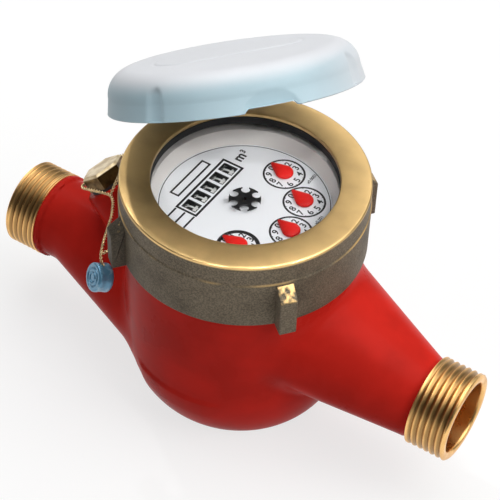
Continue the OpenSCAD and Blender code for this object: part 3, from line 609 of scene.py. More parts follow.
def plain(name, colour, rough=0.4, grain=900.0, depth=0.00002, vary=0.12, **sockets):
    """Moulded or machined stock: a cloudy colour, an uneven roughness and a fine grain."""
    if name in bpy.data.materials:
        return bpy.data.materials[name]
    f = Finish(name, **sockets)
    cloud, mask = f.mottle(shade(colour, 1 - vary), shade(colour, 1 + vary / 2), scale=90.0)
    f.colour(cloud)
    f.rough(f.spread(mask, rough * 0.88, min(1.0, rough * 1.12)))
    f.grain(fine=grain, coarse=grain / 5, share=0.35, depth=depth, strength=0.5)
    return f.material


def red_enamel(colour, bare):
    """Glossy red paint over a casting: cloudy red, a soft orange peel and a clear coat.

    Within the bores, nearer to the pipe's axis than the wall's middle, the metal is bare.
    """
    f = Finish("red_enamel", Coat_Weight=0.02, Coat_Roughness=0.15, Specular_IOR_Level=0.02)
    cloud, mask = f.mottle(shade(colour, 0.84), shade(colour, 1.08), scale=45.0, low=0.3, high=0.7)
    spot = f.node("ShaderNodeSeparateXYZ", Vector=f.place).outputs
    from_pipe = f.hypot(spot["Y"], f.math("SUBTRACT", spot["Z"], AXIS_Z * MM))
    outward = f.math("GREATER_THAN", f.math("ABSOLUTE", spot["X"]), BORE_FOOT * MM)
    metal = f.math("MULTIPLY", outward, f.math("LESS_THAN", from_pipe, (BORE_R + NECK_R) / 2 * MM))
    f.colour(f.mixed(metal, cloud, (*bare, 1)))
    f.put("Metallic", metal)
    f.rough(f.spread(mask, 0.26, 0.34))
    f.grain(fine=420.0, coarse=90.0, share=0.55, depth=0.0002, strength=0.16)
    return f.material


def thread_brass(colour):
    """Turned pipe brass with painted highlight on the ridges and painted shade in the roots, by the crest
    attribute.
    """
    f = Finish("thread_brass", Metallic=1.0)
    crest = f.mark("crest")
    cloud, mask = f.mottle(shade(colour, 0.95), shade(colour, 1.2), scale=130.0)
    # Painted shade in the roots of the thread and painted highlight on its crests
    f.colour(f.mixed(crest, (*shade(colour, 0.46), 1), cloud))
    f.rough(f.spread(f.math("MULTIPLY", crest, mask), 0.36, 0.24))
    f.grain(fine=1500.0, coarse=300.0, share=0.3, depth=0.00003, strength=0.5)
    return f.material


def ring_brass(turned, skin):
    """Ring stock: turned brass with fine rings on top and in the bore, speckled casting skin on the wall.

    Bands of height and radius tell the two apart. The turned brass is painted lighter in two wedges of the
    ring and darker elsewhere: painted highlight and painted shade that stand for the reflections of its
    turned grooves. The edge of the ledge is rubbed bright in places.
    """
    top_band, bore_band, wedge_band = (0.0976, 0.0982), (0.0404, 0.0398), (0.018, 0.04)
    # Painted reflection: directions along which the turned top is painted lighter, with the share of each
    highlight_wedges = (((0.4, -0.92, 0), 1.0), ((0.5, 0.87, 0), 0.45))
    edge_at, edge_band, rub_band = 0.09055, (0.00055, 0.0001), (0.42, 0.6)
    f = Finish("ring_brass")
    spot = f.node("ShaderNodeSeparateXYZ", Vector=f.place).outputs
    top = f.ranged(spot["Z"], *top_band)
    inner = f.ranged(f.hypot(spot["X"], spot["Y"]), *bore_band)
    bright = f.math("MAXIMUM", top, inner)
    wedges = [f.ranged(f.along(way), *wedge_band, to_high=share) for way, share in highlight_wedges]
    # Painted shade and painted highlight: a darker and a lighter copy of the turned brass, mixed by the
    # wedges
    painted_dark_sector, _ = f.mottle(shade(turned, 0.62), shade(turned, 0.95), scale=55.0, low=0.3, high=0.7)
    painted_bright_sector, _ = f.mottle(shade(turned, 1.3), shade(turned, 1.62), scale=75.0, low=0.3, high=0.7)
    lit_brass = f.mixed(f.math("MAXIMUM", *wedges), painted_dark_sector, painted_bright_sector)
    speck, _ = f.mottle(shade(skin, 0.68), shade(skin, 1.25), scale=1700.0, low=0.36, high=0.68)
    tarnish, _ = f.mottle(shade(skin, 0.8), (1, 1, 1), scale=70.0, low=0.25, high=0.6)
    dull_and_shaded = f.mixed(0.45, speck, tarnish, blend="MULTIPLY")
    near = f.ranged(f.math("ABSOLUTE", f.math("SUBTRACT", spot["Z"], edge_at)), *edge_band)
    noise = f.node("ShaderNodeTexNoise", Vector=f.place, Scale=60.0).outputs["Fac"]
    worn = f.math("MULTIPLY", near, f.ranged(noise, *rub_band))
    cast = f.mixed(worn, dull_and_shaded, (*shade(turned, 1.15), 1))
    f.colour(f.mixed(bright, cast, lit_brass))
    f.put("Metallic", f.spread(f.math("MAXIMUM", bright, worn), 0.55, 1.0))
    f.rough(f.spread(bright, 0.62, 0.34))
    rings = f.node("ShaderNodeTexWave", Vector=f.place, Scale=900.0, Distortion=0.6, Detail=1.0)
    rings.wave_type, rings.rings_direction = "RINGS", "Z"
    coarse = f.group(grain_group(), Fine=1900.0, Coarse=600.0, Share=0.5)["Height"]
    fine = f.math("MULTIPLY", rings.outputs["Fac"], 0.1)
    f.bump(f.mixed(bright, coarse, fine, kind="FLOAT"), depth=0.00032, strength=0.8)
    return f.material


def cap_plastic(colour, pale):
    """Moulded plastic of the cap: a soft sheen, faint clouds and a fine spark-eroded grain.

    A mark of the mesh takes the colour of the wall to the paler one of the crown: painted light on the
    crown and on the wall's sunny side.
    """
    f = Finish("cap_plastic", Subsurface_Weight=0.12, Subsurface_Scale=0.002, Specular_IOR_Level=0.4,
               Subsurface_Radius=(1.0, 1.0, 1.0))
    cloud, mask = f.mottle(shade(colour, 0.95), shade(colour, 1.03), scale=40.0, low=0.25, high=0.75)
    lit_cloud, _ = f.mottle(shade(pale, 0.97), shade(pale, 1.02), scale=40.0, low=0.25, high=0.75)
    # Painted light: the crown and the sunny side of the wall take the paler colour
    f.colour(f.mixed(f.mark("painted_light"), cloud, lit_cloud))
    f.rough(f.spread(mask, 0.4, 0.5))
    f.grain(fine=1600.0, coarse=260.0, share=0.4, depth=0.00004, strength=0.5)
    return f.material


def clear_glass():
    """Flat cover glass: nearly clear face on, with more gloss where it is seen aslant."""
    f = Finish("cover_glass", Specular_IOR_Level=0.5)
    smear, mask = f.mottle((0.02, 0.025, 0.025), (0.04, 0.045, 0.045), scale=25.0)
    f.colour(smear)
    f.rough(f.spread(mask, 0.03, 0.07))
    facing = f.node("ShaderNodeLayerWeight", Blend=0.25).outputs["Facing"]
    f.put("Alpha", f.spread(facing, 0.008, 0.1))
    return f.material


def wire_metal(colour):
    """Twisted wire: bright brass with dull smudges."""
    f = Finish("wire_brass", Metallic=0.85)
    cloud, mask = f.mottle(shade(colour, 0.55), shade(colour, 1.1), scale=500.0, low=0.3, high=0.6)
    f.colour(cloud)
    f.rough(f.spread(mask, 0.5, 0.3))
    f.grain(fine=3000.0, coarse=900.0, share=0.4, depth=0.00002, strength=0.4)
    return f.material


# Sizes and colours

def length(label, text, value):
    """A length in metres that the sidebar shows in the scene's unit."""
    return FloatProperty(name=label, description=text, default=value, unit="LENGTH", subtype="DISTANCE",
                         precision=5)


def tint(label, text, value):
    """A linear colour."""
    return FloatVectorProperty(name=label, description=text, default=value, subtype="COLOR",
                               min=0.0, max=1.0)


def level(label, text, value):
    """A plain number, such as the strength of a lamp."""
    return FloatProperty(name=label, description=text, default=value)


class MeterSizes(bpy.types.PropertyGroup):
    """Sizes of the shapes that the frame leaves to this file."""

    fillet: length("Casting fillet", "Blend between the bowl and its nozzles", 0.0032)
    grid: length("Casting grid", "Spacing of the points on the casting's skin", 0.001)
    pitch: length("Thread pitch", "Advance of the pipe thread in one turn", 0.002309)
    ridge: length("Thread depth", "Depth of the pipe thread", 0.00095)
    strand: length("Strand radius", "Radius of one strand of the seal wire", 0.00023)
    lay: length("Strand lay", "Length in which the strands of the seal wire turn once", 0.0026)
    print: length("Print thickness", "Height of the print above the dial", 0.00003)
    line: length("Line width", "Width of the lines printed on the dial", 0.00072)
    numeral: length("Numeral height", "Type size of the numerals round the small dials", 0.0035)


class MeterColours(bpy.types.PropertyGroup):
    """Linear colours of the finishes."""

    enamel: tint("Enamel", "Paint of the casting", (0.63, 0.023, 0.015))
    turned: tint("Turned brass", "Machined top of the ring", (0.60, 0.40, 0.17))
    skin: tint("Casting skin", "Unmachined wall of the ring", (0.175, 0.14, 0.095))
    thread: tint("Pipe brass", "Threaded pipe ends", (0.86, 0.50, 0.19))
    cap: tint("Cap plastic", "Wall of the hinged cap", (0.37, 0.50, 0.56))
    # Painted light: the paler copy of the cap's plastic that its crown and the wall's sunny side take
    cap_pale: tint("Lit plastic", "Crown of the hinged cap", (0.66, 0.67, 0.70))
    dial: tint("Dial", "Face of the dial", (0.88, 0.91, 0.92))
    ink: tint("Ink", "Print on the dial", (0.012, 0.012, 0.013))
    hand: tint("Hands", "Small pointers", (0.72, 0.016, 0.012))
    bezel: tint("Bezel", "Ring round the dial", (0.76, 0.69, 0.64))
    wire: tint("Wire", "Seal wire", (0.86, 0.66, 0.36))
    seal: tint("Seal", "Crimped seal", (0.13, 0.33, 0.50))
    plug: tint("Plug", "Hexagon plug", (0.55, 0.33, 0.12))


class StageSettings(bpy.types.PropertyGroup):
    """Light and floor of the studio."""

    floor: tint("Floor", "Colour of the floor as it is seen", (0.28, 0.28, 0.28))
    glow: level("Glow", "Share of the seen floor that no shadow darkens", 0.73)
    bounce: tint("Bounce", "Colour of the floor in the light that it throws back", (0.60, 0.59, 0.58))
    sky: level("Sky", "Strength of the even light from all round", 0.2)
    key: level("Key", "Strength of the broad lamp at the right", 1.7)
    fill: level("Fill", "Strength of the lamp overhead", 16.0)
    dial: level("Dial lamp", "Strength of the narrow lamps that reach in under the cap", 20.0)
    cap: level("Cap lamp", "Strength of the narrow lamp over the cap's top", 9.0)


def sizes(context):
    """The sizes in millimetres, by name."""
    group = context.scene.meter_sizes
    return {key: getattr(group, key) / MM for key in MeterSizes.__annotations__}


# Pieces

class MeterOperator:
    """Shared base of the operators."""

    bl_options = {"REGISTER"}


class METER_OT_stage(MeterOperator, bpy.types.Operator):
    """Floor, lamps, sky and the camera at the photograph's angle."""

    bl_idname = "meter.stage"
    bl_label = "Stage"

    def execute(self, context):
        scene, stage = context.scene, context.scene.meter_stage
        scene.view_settings.view_transform = "Standard"
        self.sky(scene, stage.sky)
        self.floor(scene, stage)
        self.lamp(scene, "key", "SUN", (14, 44, 2.0), energy=stage.key, angle=np.radians(50),
                  color=(1.0, 0.985, 0.96))
        self.lamp(scene, "overhead", "AREA", (105, 68, 1.7), energy=stage.fill, size=1.6)
        azimuths = (-85, -45, -5)
        for i, azimuth in enumerate(azimuths):
            self.lamp(scene, f"dial_lamp_{i + 1}", "SPOT", (azimuth, 50, 0.85, DIAL_Z * MM),
                      energy=stage.dial / len(azimuths), shadow_soft_size=0.014,
                      spot_size=np.radians(5.4), spot_blend=0.35)
        self.lamp(scene, "cap_lamp", "SPOT", (150, 50, 1.1, 118.0 * MM), energy=stage.cap,
                  shadow_soft_size=0.03, spot_size=np.radians(9.0), spot_blend=0.5)
        self.camera(scene)
        return {"FINISHED"}

    def sky(self, scene, strength):
        """World: even light for what scatters, and a dark room with one soft box for what reflects.

        The level of the room is a smooth range of the dot product of a ray with the way to the box.
        """
        world = bpy.data.worlds.new("studio")
        scene.world = world
        world.use_nodes = True
        nodes, link = world.node_tree.nodes, world.node_tree.links.new
        background = nodes["Background"]
        background.inputs["Color"].default_value = SKY_TINT
        toward = nodes.new("ShaderNodeVectorMath")
        toward.operation = "DOT_PRODUCT"
        toward.inputs[1].default_value = BOX_WAY
        room = nodes.new("ShaderNodeMapRange")
        room.interpolation_type = "SMOOTHSTEP"
        for name, value in zip(("From Min", "From Max", "To Min", "To Max"), (*BOX_EDGE, *ROOM_LEVELS)):
            room.inputs[name].default_value = value
        shown = nodes.new("ShaderNodeMath")
        shown.operation = "MAXIMUM"
        total = nodes.new("ShaderNodeMapRange")
        total.inputs["To Min"].default_value = strength
        link(nodes.new("ShaderNodeTexCoord").outputs["Generated"], toward.inputs[0])
        link(toward.outputs["Value"], room.inputs["Value"])
        link(room.outputs["Result"], shown.inputs[0])
        link(nodes.new("ShaderNodeLightPath").outputs["Is Camera Ray"], shown.inputs[1])
        link(shown.outputs["Value"], total.inputs["To Max"])
        link(self.seen(world.node_tree), total.inputs["Value"])
        link(total.outputs["Result"], background.inputs["Strength"])

    def floor(self, scene, stage):
        """Paper floor, which glows where it is seen and throws light back in its own bounce colour."""
        side = np.linspace(-FLOOR_HALF, FLOOR_HALF, FLOOR_POINTS)
        x, y = np.meshgrid(side, side)
        points = np.stack([x, y, np.full_like(x, FLOOR_Z)], -1).reshape(-1, 3) * MM
        mesh = bpy.data.meshes.new("floor")
        mesh.from_pydata(points.tolist(), [], lattice(FLOOR_POINTS, FLOOR_POINTS).tolist())
        f = Finish("floor_paper", Specular_IOR_Level=0.1, Emission_Color=(1, 1, 1, 1))
        cloud, mask = f.mottle(shade(stage.floor, 0.995), stage.floor[:], scale=6.0)
        seen = self.seen(f.tree)
        f.colour(f.mixed(seen, (*stage.bounce, 1), cloud))
        f.put("Emission_Strength", f.math("MULTIPLY", seen, stage.glow))
        f.rough(f.spread(mask, 0.75, 0.8))
        mesh.materials.append(f.material)
        floor = bpy.data.objects.new("floor", mesh)
        scene.collection.objects.link(floor)

    @staticmethod
    def lamp(scene, name, kind, aim, **settings):
        """A lamp that looks at a height on the meter's axis, from an azimuth and a lift in degrees.

        aim holds the azimuth, the lift, the distance in metres and, if it isn't 0.05, the height.
        """
        azimuth, lift, distance, height = (*aim, 0.05)[:4]
        light = bpy.data.lights.new(name, kind)
        for key, value in settings.items():
            setattr(light, key, value)
        azimuth, lift = np.radians(azimuth), np.radians(lift)
        back = np.array([np.cos(azimuth) * np.cos(lift), np.sin(azimuth) * np.cos(lift), np.sin(lift)])
        holder = bpy.data.objects.new(name, light)
        holder.matrix_world = placed(frame_to(back), back * distance + [0, 0, height])
        scene.collection.objects.link(holder)

    @staticmethod
    def camera(scene):
        """Camera at the place and the azimuth, lift and roll that fit the photograph."""
        lens = bpy.data.cameras.new("camera")
        lens.lens, lens.sensor_width, lens.clip_start = CAMERA_LENS, CAMERA_SENSOR, CAMERA_NEAR
        azimuth, lift, roll = CAMERA_TURNS
        back = np.array([np.sin(azimuth) * np.cos(lift), -np.cos(azimuth) * np.cos(lift), np.sin(lift)])
        right = np.array([np.cos(azimuth), np.sin(azimuth), 0])
        up = np.cross(back, right)
        c, s = np.cos(roll), np.sin(roll)
        eye = bpy.data.objects.new("camera", lens)
        eye.matrix_world = placed(np.stack([c * right + s * up, c * up - s * right, back], 1), CAMERA_AT)
        scene.collection.objects.link(eye)
        scene.camera = eye

    @staticmethod
    def seen(tree):
        """One where the eye, a reflection or a view through glass looks, and nought for scattered light."""
        path = tree.nodes.new("ShaderNodeLightPath")
        total = path.outputs["Is Camera Ray"]
        for name in ("Is Glossy Ray", "Is Transmission Ray"):
            made = tree.nodes.new("ShaderNodeMath")
            made.operation = "MAXIMUM"
            tree.links.new(total, made.inputs[0])
            tree.links.new(path.outputs[name], made.inputs[1])
            total = made.outputs[0]
        return total


class METER_OT_wires(MeterOperator, bpy.types.Operator):
    """Seal wire in three runs, two strands twisted together, with the crimped seal."""

    bl_idname = "meter.wires"
    bl_label = "Seal and wire"

    def execute(self, context):
        size, tints = sizes(context), context.scene.meter_colours
        metal = wire_metal(tints.wire)
        radius, lay = size["strand"], size["lay"]
        spacing, offset = 0.16, 1.6
        runs = {}
        for name, node, route in (("twisted_seal_wire", "seal_wire", SEAL_ROUTE),
                                  ("twisted_far_wire", "far_wire", FAR_ROUTE),
                                  ("twisted_lug_wire", "lug_wire", LUG_ROUTE)):
            path, total = smooth_route(route, spacing)
            along = np.linspace(0, total, len(path))
            shell = joined([strand(path, along, radius, offset * radius, lay, phase)
                            for phase in (0, np.pi)])
            runs[node] = put(name, shell, metal, nodes=[node], slot="wire_brass"), path, total
        lacquer = self.seal_finish(tints.seal)
        seal = put("crimped_seal", self.puck(), lacquer, nodes=["seal"], slot="seal_blue")
        for node, others in (("seal_wire", [runs["lug_wire"][0], seal]), ("far_wire", [])):
            piece, path, total = runs[node]
        return {"FINISHED"}

    @staticmethod
    def puck():
        """Round seal: a profile revolved about its own axis, with two rings pressed into each face."""
        r, thick, edge, steps = 5.2, 6.0, 0.9, 96
        deep, wide, places = 0.5, 0.3, (3.3, 1.7)
        waist = np.array([[0, 1.6], [-0.12, 0.9], [-0.16, 0.0], [-0.12, -0.9], [0, -1.6]])
        face_r = np.linspace(0, 1, 60) * (r - edge)
        groove = deep * sum(np.exp(-((face_r - at) / wide) ** 2) for at in places)
        a = np.linspace(0, np.pi / 2, 9)[1:-1]
        corner = np.stack([r - edge + edge * np.sin(a), thick / 2 - edge + edge * np.cos(a)], 1)
        half = np.concatenate([np.stack([face_r, thick / 2 - groove], 1), corner])
        profile = np.concatenate([half, waist + [r, 0], half[::-1] * [1, -1]])
        loops = about_z(profile[:, :1], profile[:, 1:], full_turn(steps))
        return capped(loops[1:-1]).moved(frame_to(SEAL_DIR), SEAL_AT)

    @staticmethod
    def seal_finish(colour):
        """Blue lacquer on soft metal, scuffed pale in places."""
        f = Finish("seal_lacquer", Metallic=0.35, Coat_Weight=0.3)
        scuff, mask = f.mottle(colour[:], (0.36, 0.55, 0.68), scale=420.0, low=0.5, high=0.72)
        f.colour(scuff)
        f.rough(f.spread(mask, 0.34, 0.5))
        f.grain(fine=1500.0, coarse=350.0, share=0.5, depth=0.0001, strength=0.5)
        return f.material


def meld(a, b, k):
    """Smooth union of two fields: the smaller, less k h^2 / 4 where h = 1 - |a - b| / k is above 0."""
    h = np.maximum(k - np.abs(a - b), 0) / k
    return np.minimum(a, b) - h * h * k / 4


def oval_field(u, v, a, b):
    """Distance, near enough, from an ellipse: (g - 1) / |grad g| for g = |(u / a, v / b)|."""
    tiny = 1e-9
    g = np.sqrt((u / a) ** 2 + (v / b) ** 2) + tiny
    slope = np.sqrt((u / a ** 2) ** 2 + (v / b ** 2) ** 2) / g + tiny
    return (g - 1) / slope


def casting_field(p, fillet):
    """Field of the casting, below zero inside: bowl, nozzles, the plug's boss, necks and the inlet's bead.

    The bowl is a turned wall with a quarter ellipse at its foot and a low ledge that stands proud in front.
    A nozzle is an ellipse that goes evenly to a circle along the pipe. The parts are melded with fillets,
    and the bores are cut out of them, a little wider behind the threaded sleeves.
    """
    x, y, z = p[..., 0], p[..., 1], p[..., 2]
    turn = np.degrees(np.arctan2(y, x))
    ledge = LEDGE_PROUD * unit((LEDGE_TOP - z) / LEDGE_EDGE) * unit((z - LEDGE_FOOT) / LEDGE_FADE) \
        * unit((turn - LEDGE_FROM) / LEDGE_FROM_FADE) * unit((LEDGE_TO - turn) / LEDGE_TO_FADE)
    out_foot, down_foot = np.maximum(np.hypot(x, y) - BOWL_CORE_R, 0), np.maximum(FOOT_TALL - z, 0)
    total = np.maximum(oval_field(out_foot, down_foot, FOOT_WIDE, FOOT_TALL) - ledge, z - BOWL_TOP)
    for way, start, stop, half_w, half_h, rise in NOZZLES:
        t = unit((way * x - start) / (stop - start))
        nozzle = oval_field(y, z - AXIS_Z - rise * (1 - t), half_w + (NOZZLE_END_R - half_w) * t,
                            half_h + (NOZZLE_END_R - half_h) * t)
        total = meld(total, np.maximum(np.maximum(nozzle, way * x - stop), -way * x), fillet)
    seat = p - PLUG_SEAT
    high = seat @ np.array([-np.sin(PLUG_LEAN), 0, np.cos(PLUG_LEAN)])
    out = np.sqrt(np.maximum((seat ** 2).sum(-1) - high ** 2, 0))
    corner = np.stack([out - BOSS_R + BOSS_EDGE, high + BOSS_EDGE], -1)
    boss = np.minimum(corner.max(-1), 0) + np.linalg.norm(np.maximum(corner, 0), axis=-1) - BOSS_EDGE
    total = meld(total, np.maximum(boss, -high - BOSS_DEEP), fillet)
    from_pipe, outlet = np.hypot(y, z - AXIS_Z), x > 0
    past_face = np.where(outlet, x - OUTLET_END, -x - INLET_END)
    past_neck = np.where(outlet, x - OUTLET_END + OUTLET_THREAD, INLET_THREAD - INLET_END - x)
    neck = np.maximum(from_pipe - np.where(outlet, NECK_R, INLET_NECK_R), past_neck)
    along_bead = np.abs(x + INLET_END - INLET_THREAD - BEAD_LONG / 2) - BEAD_LONG / 2
    bead = np.maximum(from_pipe - BEAD_R, along_bead)
    total = meld(meld(total, neck, NECK_FILLET), bead, NECK_FILLET)
    behind_sleeve = np.clip(past_neck + SLEEVE_LEAD, 0, SLEEVE_ROOM)
    bore = from_pipe - THROAT_R - (BORE_R - THROAT_R) * unit(past_face + BORE_LEN) - behind_sleeve
    return np.maximum(total, -np.maximum(bore, BORE_FOOT - np.abs(x)))


def skin_of(field, low, high, step):
    """Closed skin where a field is zero.

    Each grid cell with corners on both sides gets one point, the mean of the crossings on its edges, which
    Newton steps p - f grad f / |grad f|^2 then draw onto the skin. Each grid edge that the skin crosses
    gives a quad through the four cells round it.
    """
    axes = [np.arange(a, b + step, step) for a, b in zip(low, high)]
    shape = np.array([len(a) for a in axes])
    grid = np.stack(np.meshgrid(*axes, indexing="ij"), -1)
    f = field(grid)
    inside = f < 0
    cells = shape - 1
    hits = np.zeros(tuple(cells))
    total = np.zeros(tuple(cells) + (3,))
    crossed = []
    for axis in range(3):
        a = [slice(None)] * 3
        b = [slice(None)] * 3
        a[axis], b[axis] = slice(0, -1), slice(1, None)
        a, b = tuple(a), tuple(b)
        cut = inside[a] != inside[b]
        crossed.append(cut)
        share = np.where(cut, f[a] / np.where(cut, f[a] - f[b], 1), 0)
        spot = grid[a] + share[..., None] * (grid[b] - grid[a])
        others = [k for k in range(3) if k != axis]
        for d0 in (0, 1):
            for d1 in (0, 1):
                w = [slice(None)] * 3
                w[others[0]] = slice(d0, cells[others[0]] + d0)
                w[others[1]] = slice(d1, cells[others[1]] + d1)
                w = tuple(w)
                hits += cut[w]
                total += np.where(cut[w][..., None], spot[w], 0)
    used = hits > 0
    index = np.full(tuple(cells), -1)
    index[used] = np.arange(used.sum())
    points = total[used] / hits[used][:, None]
    nudge, flattest, stride = 0.05, 0.05, 0.4 * step
    for _ in range(4):
        ahead, behind = ([field(points + way * nudge * e) for e in np.eye(3)] for way in (1, -1))
        slope = (np.stack(ahead, -1) - np.stack(behind, -1)) / (2 * nudge)
        pull = field(points)[:, None] * slope / np.maximum((slope ** 2).sum(-1, keepdims=True), flattest)
        points = points - np.clip(pull, -stride, stride)
    quads = []
    for axis in range(3):
        u, v = (axis + 1) % 3, (axis + 2) % 3
        at = np.argwhere(crossed[axis])
        at = at[(at[:, u] > 0) & (at[:, v] > 0) & (at[:, u] < cells[u]) & (at[:, v] < cells[v])]
        ring = []
        for du, dv in ((1, 1), (0, 1), (0, 0), (1, 0)):
            c = at.copy()
            c[:, u] -= du
            c[:, v] -= dv
            ring.append(index[tuple(c.T)])
        ring = np.stack(ring, 1)
        turned = ~inside[tuple(at.T)]
        ring[turned] = ring[turned][:, ::-1]
        quads.append(ring)
    return Shell(points, np.concatenate(quads)).outward()


class METER_OT_casting(MeterOperator, bpy.types.Operator):
    """Red casting: bowl, nozzles and the boss of the plug in one blended skin."""

    bl_idname = "meter.casting"
    bl_label = "Body casting"

    def execute(self, context):
        size, tints = sizes(context), context.scene.meter_colours
        sharp = np.radians(50)
        shell = skin_of(lambda p: casting_field(p, size["fillet"]), CASTING_LOW, CASTING_HIGH, size["grid"])
        paint = red_enamel(tints.enamel, tints.thread)
        casting = put("body_casting", shell, paint, nodes=["meter_body"], slot="red_paint")
        casting.data.set_sharp_from_angle(angle=sharp)
        return {"FINISHED"}


class METER_OT_pipe_ends(MeterOperator, bpy.types.Operator):
    """Threaded brass pipe ends, turned out of the casting's nozzles."""

    bl_idname = "meter.pipe_ends"
    bl_label = "Pipe ends"

    def execute(self, context):
        size, tints = sizes(context), context.scene.meter_colours
        brass = thread_brass(tints.thread)
        for name, way, reach, long in (("outlet_thread", 1, OUTLET_END, OUTLET_THREAD),
                                       ("inlet_thread", -1, INLET_END, INLET_THREAD)):
            shell, crest = self.spigot(way, reach, long, size["pitch"], size["ridge"])
            put(name, shell, brass, nodes=["meter_body"], slot="plug_brass", marks={"crest": crest})
        return {"FINISHED"}

    @staticmethod
    def spigot(way, reach, long, pitch, depth):
        """Threaded sleeve revolved about the pipe: thread, bevelled end and bore, let into the neck.

        On the thread the radius falls by depth w^0.7, where w = arccos(0.985 cos p) / pi is a wave with
        straight flanks, so that the crests are narrow and the roots wide. Its phase p is the turn less
        2 pi x / pitch and a lead, with x from the thread's start, and it fades in and out over less than a
        pitch. The second result marks each point with how near it is to a crest.
        """
        bevel, lip, let_in, nose, nose_fall, steps = 0.85, 1.25, 0.6, 0.2, 0.4, 288
        lead, straight, narrow, fade_in, fade_out = 0.75 * np.pi, 0.985, 0.7, 1.4, 1.2
        crest_high, crest_fall = 1.25, 1.9
        start = reach - long
        foot = [(start - 1.6, BORE_R - 0.15), (start - let_in, BORE_R + 0.4),
                (start - let_in, NECK_R - 0.4), (start, NECK_R - 0.2),
                (start, THREAD_R - 0.3), (start + 0.1, THREAD_R - 0.1)]
        run = np.linspace(start + 0.25, reach - bevel, int(long * 9))
        slope = np.linspace(0.2, 1, 4) * (bevel - nose)
        bend = np.linspace(0, np.pi / 2, 6)
        nose_r = THREAD_R - bevel - 0.1 - nose_fall * bend / bend[-1]
        wall = np.stack([np.linspace(reach - 1.5, start + 1.0, 10),
                         np.linspace(BORE_R, BORE_R - 0.1, 10)], 1)
        mouth = np.stack([reach - lip * (1 - np.cos(bend)), BORE_R + lip - lip * np.sin(bend)], 1)
        x, r = np.concatenate([foot, np.stack([run, np.full(len(run), THREAD_R)], 1),
                               np.stack([reach - bevel + slope, THREAD_R - slope], 1),
                               np.stack([reach - nose + nose * np.sin(bend), nose_r], 1), mouth, wall]).T
        on = np.zeros(len(x))
        fade = unit((run - start) / pitch * fade_in) * unit((reach - run) / pitch * fade_out)
        on[len(foot):len(foot) + len(run)] = fade
        a = full_turn(steps)[:, None]
        phase = a - lead - TURN * (x - start) / pitch
        wave = (np.arccos(straight * np.cos(phase)) / np.pi) ** narrow * on
        points = about_z(r - depth * wave, way * x, a)[..., [2, 0, 1]] + (0, 0, AXIS_Z)
        crest = unit(crest_high - crest_fall * wave)
        return Shell(points, lattice(steps, len(x), True, True)).outward(), crest


class METER_OT_ring(MeterOperator, bpy.types.Operator):
    """Brass ring with its turned top, rough skirt, spanner lugs and hinge ears."""

    bl_idname = "meter.ring"
    bl_label = "Register ring"

    def execute(self, context):
        tints = context.scene.meter_colours
        tie = {"nodes": ["register_ring"], "slot": "cast_brass"}
        put("ring_turning", self.turning(), ring_brass(tints.turned, tints.skin), **tie)
        rubbed = self.lug_finish("rubbed_lug", tints.turned, tints.skin, 0.4)
        # Painted shade: the lug at 231 degrees and the hinge ears take the casting skin at half its colour,
        # with fewer rubbed patches
        dull_and_shaded = self.lug_finish("dull_lug", tints.turned, shade(tints.skin, 0.5), 0.66)
        for i, (turn, finish) in enumerate(((-39, rubbed), (51, rubbed), (231, dull_and_shaded))):
            put(f"spanner_lug_{i + 1}", self.lug().moved(spin_z(np.radians(turn))), finish, **tie)
        for i, side in enumerate((-7.5, 7.5)):
            put(f"hinge_ear_{i + 1}", self.ear().moved(shift=(0, side, 0)).moved(AT_HINGE), dull_and_shaded, **tie)
        return {"FINISHED"}

    @staticmethod
    def turning():
        """Ring revolved from a profile with rounded edges, and a ledge two thirds up its wall."""
        corners = [(RING_BORE_R, RING_LOW), (RING_R, RING_LOW), (RING_R, RING_LEDGE),
                   (RING_UPPER_R, RING_LEDGE + 0.5), (RING_UPPER_R, RING_TOP), (RING_LIP_R, RING_TOP),
                   (RING_LIP_R, RING_LIP), (RING_BORE_R, RING_LIP)]
        rounds, spacing, steps = [0.3, 0.6, 0.16, 0.12, 0.75, 0.4, 0.2, 0.2], 1.2, 320
        return revolved(spread(rounded(corners, rounds), spacing), steps)

    @staticmethod
    def lug():
        """Spanner lug: a sloping outline in the plane of the ring's axis, thickened with soft edges."""
        foot, out, high, half, edge = 43.6, 48.2, 85.5, 3.0, 0.45
        corners = [(RING_ROOT_R, RING_LOW), (foot, LUG_LOW), (out, LUG_LOW), (out, high),
                   (RING_ROOT_R, RING_LEDGE)]
        return slab(rounded(corners, [0.1, 0.3, 0.5, 0.7, 0.3], 5), half, edge)

    @staticmethod
    def ear():
        """Hinge ear: a rounded tongue from the ring's wall to the pin, thickened with soft edges."""
        nose, drop, half, edge = 3.5, 9.5, 2.5, 0.5
        tongue = (HINGE_X, HINGE_Z) + nose * rays(np.linspace(-np.pi / 2, np.pi / 2, 24))
        root = [(RING_ROOT_R, HINGE_Z + nose), (RING_ROOT_R, HINGE_Z - drop)]
        return slab(np.concatenate([root, tongue]), half, edge)

    @staticmethod
    def lug_finish(name, turned, skin, from_level):
        """Casting skin with golden patches rubbed on what faces up, where a noise passes a level."""
        facing_up, patch_edge = (0.3, 0.6), 0.16
        f = Finish(name)
        speck, _ = f.mottle(shade(skin, 0.68), shade(skin, 1.3), scale=1700.0, low=0.36, high=0.68)
        patch = f.node("ShaderNodeTexNoise", Vector=f.place, Scale=420.0, Detail=3.0).outputs["Fac"]
        normal = f.node("ShaderNodeTexCoord").outputs["Normal"]
        lift = f.node("ShaderNodeSeparateXYZ", Vector=normal).outputs["Z"]
        worn = f.ranged(patch, from_level, from_level + patch_edge)
        rub = f.math("MULTIPLY", f.ranged(lift, *facing_up), worn)
        f.colour(f.mixed(rub, speck, (*shade(turned, 1.15), 1)))
        f.put("Metallic", f.spread(rub, 0.55, 1.0))
        f.rough(f.spread(rub, 0.6, 0.36))
        f.grain(fine=1200.0, coarse=420.0, share=0.55, depth=0.0004, strength=0.8)
        return f.material


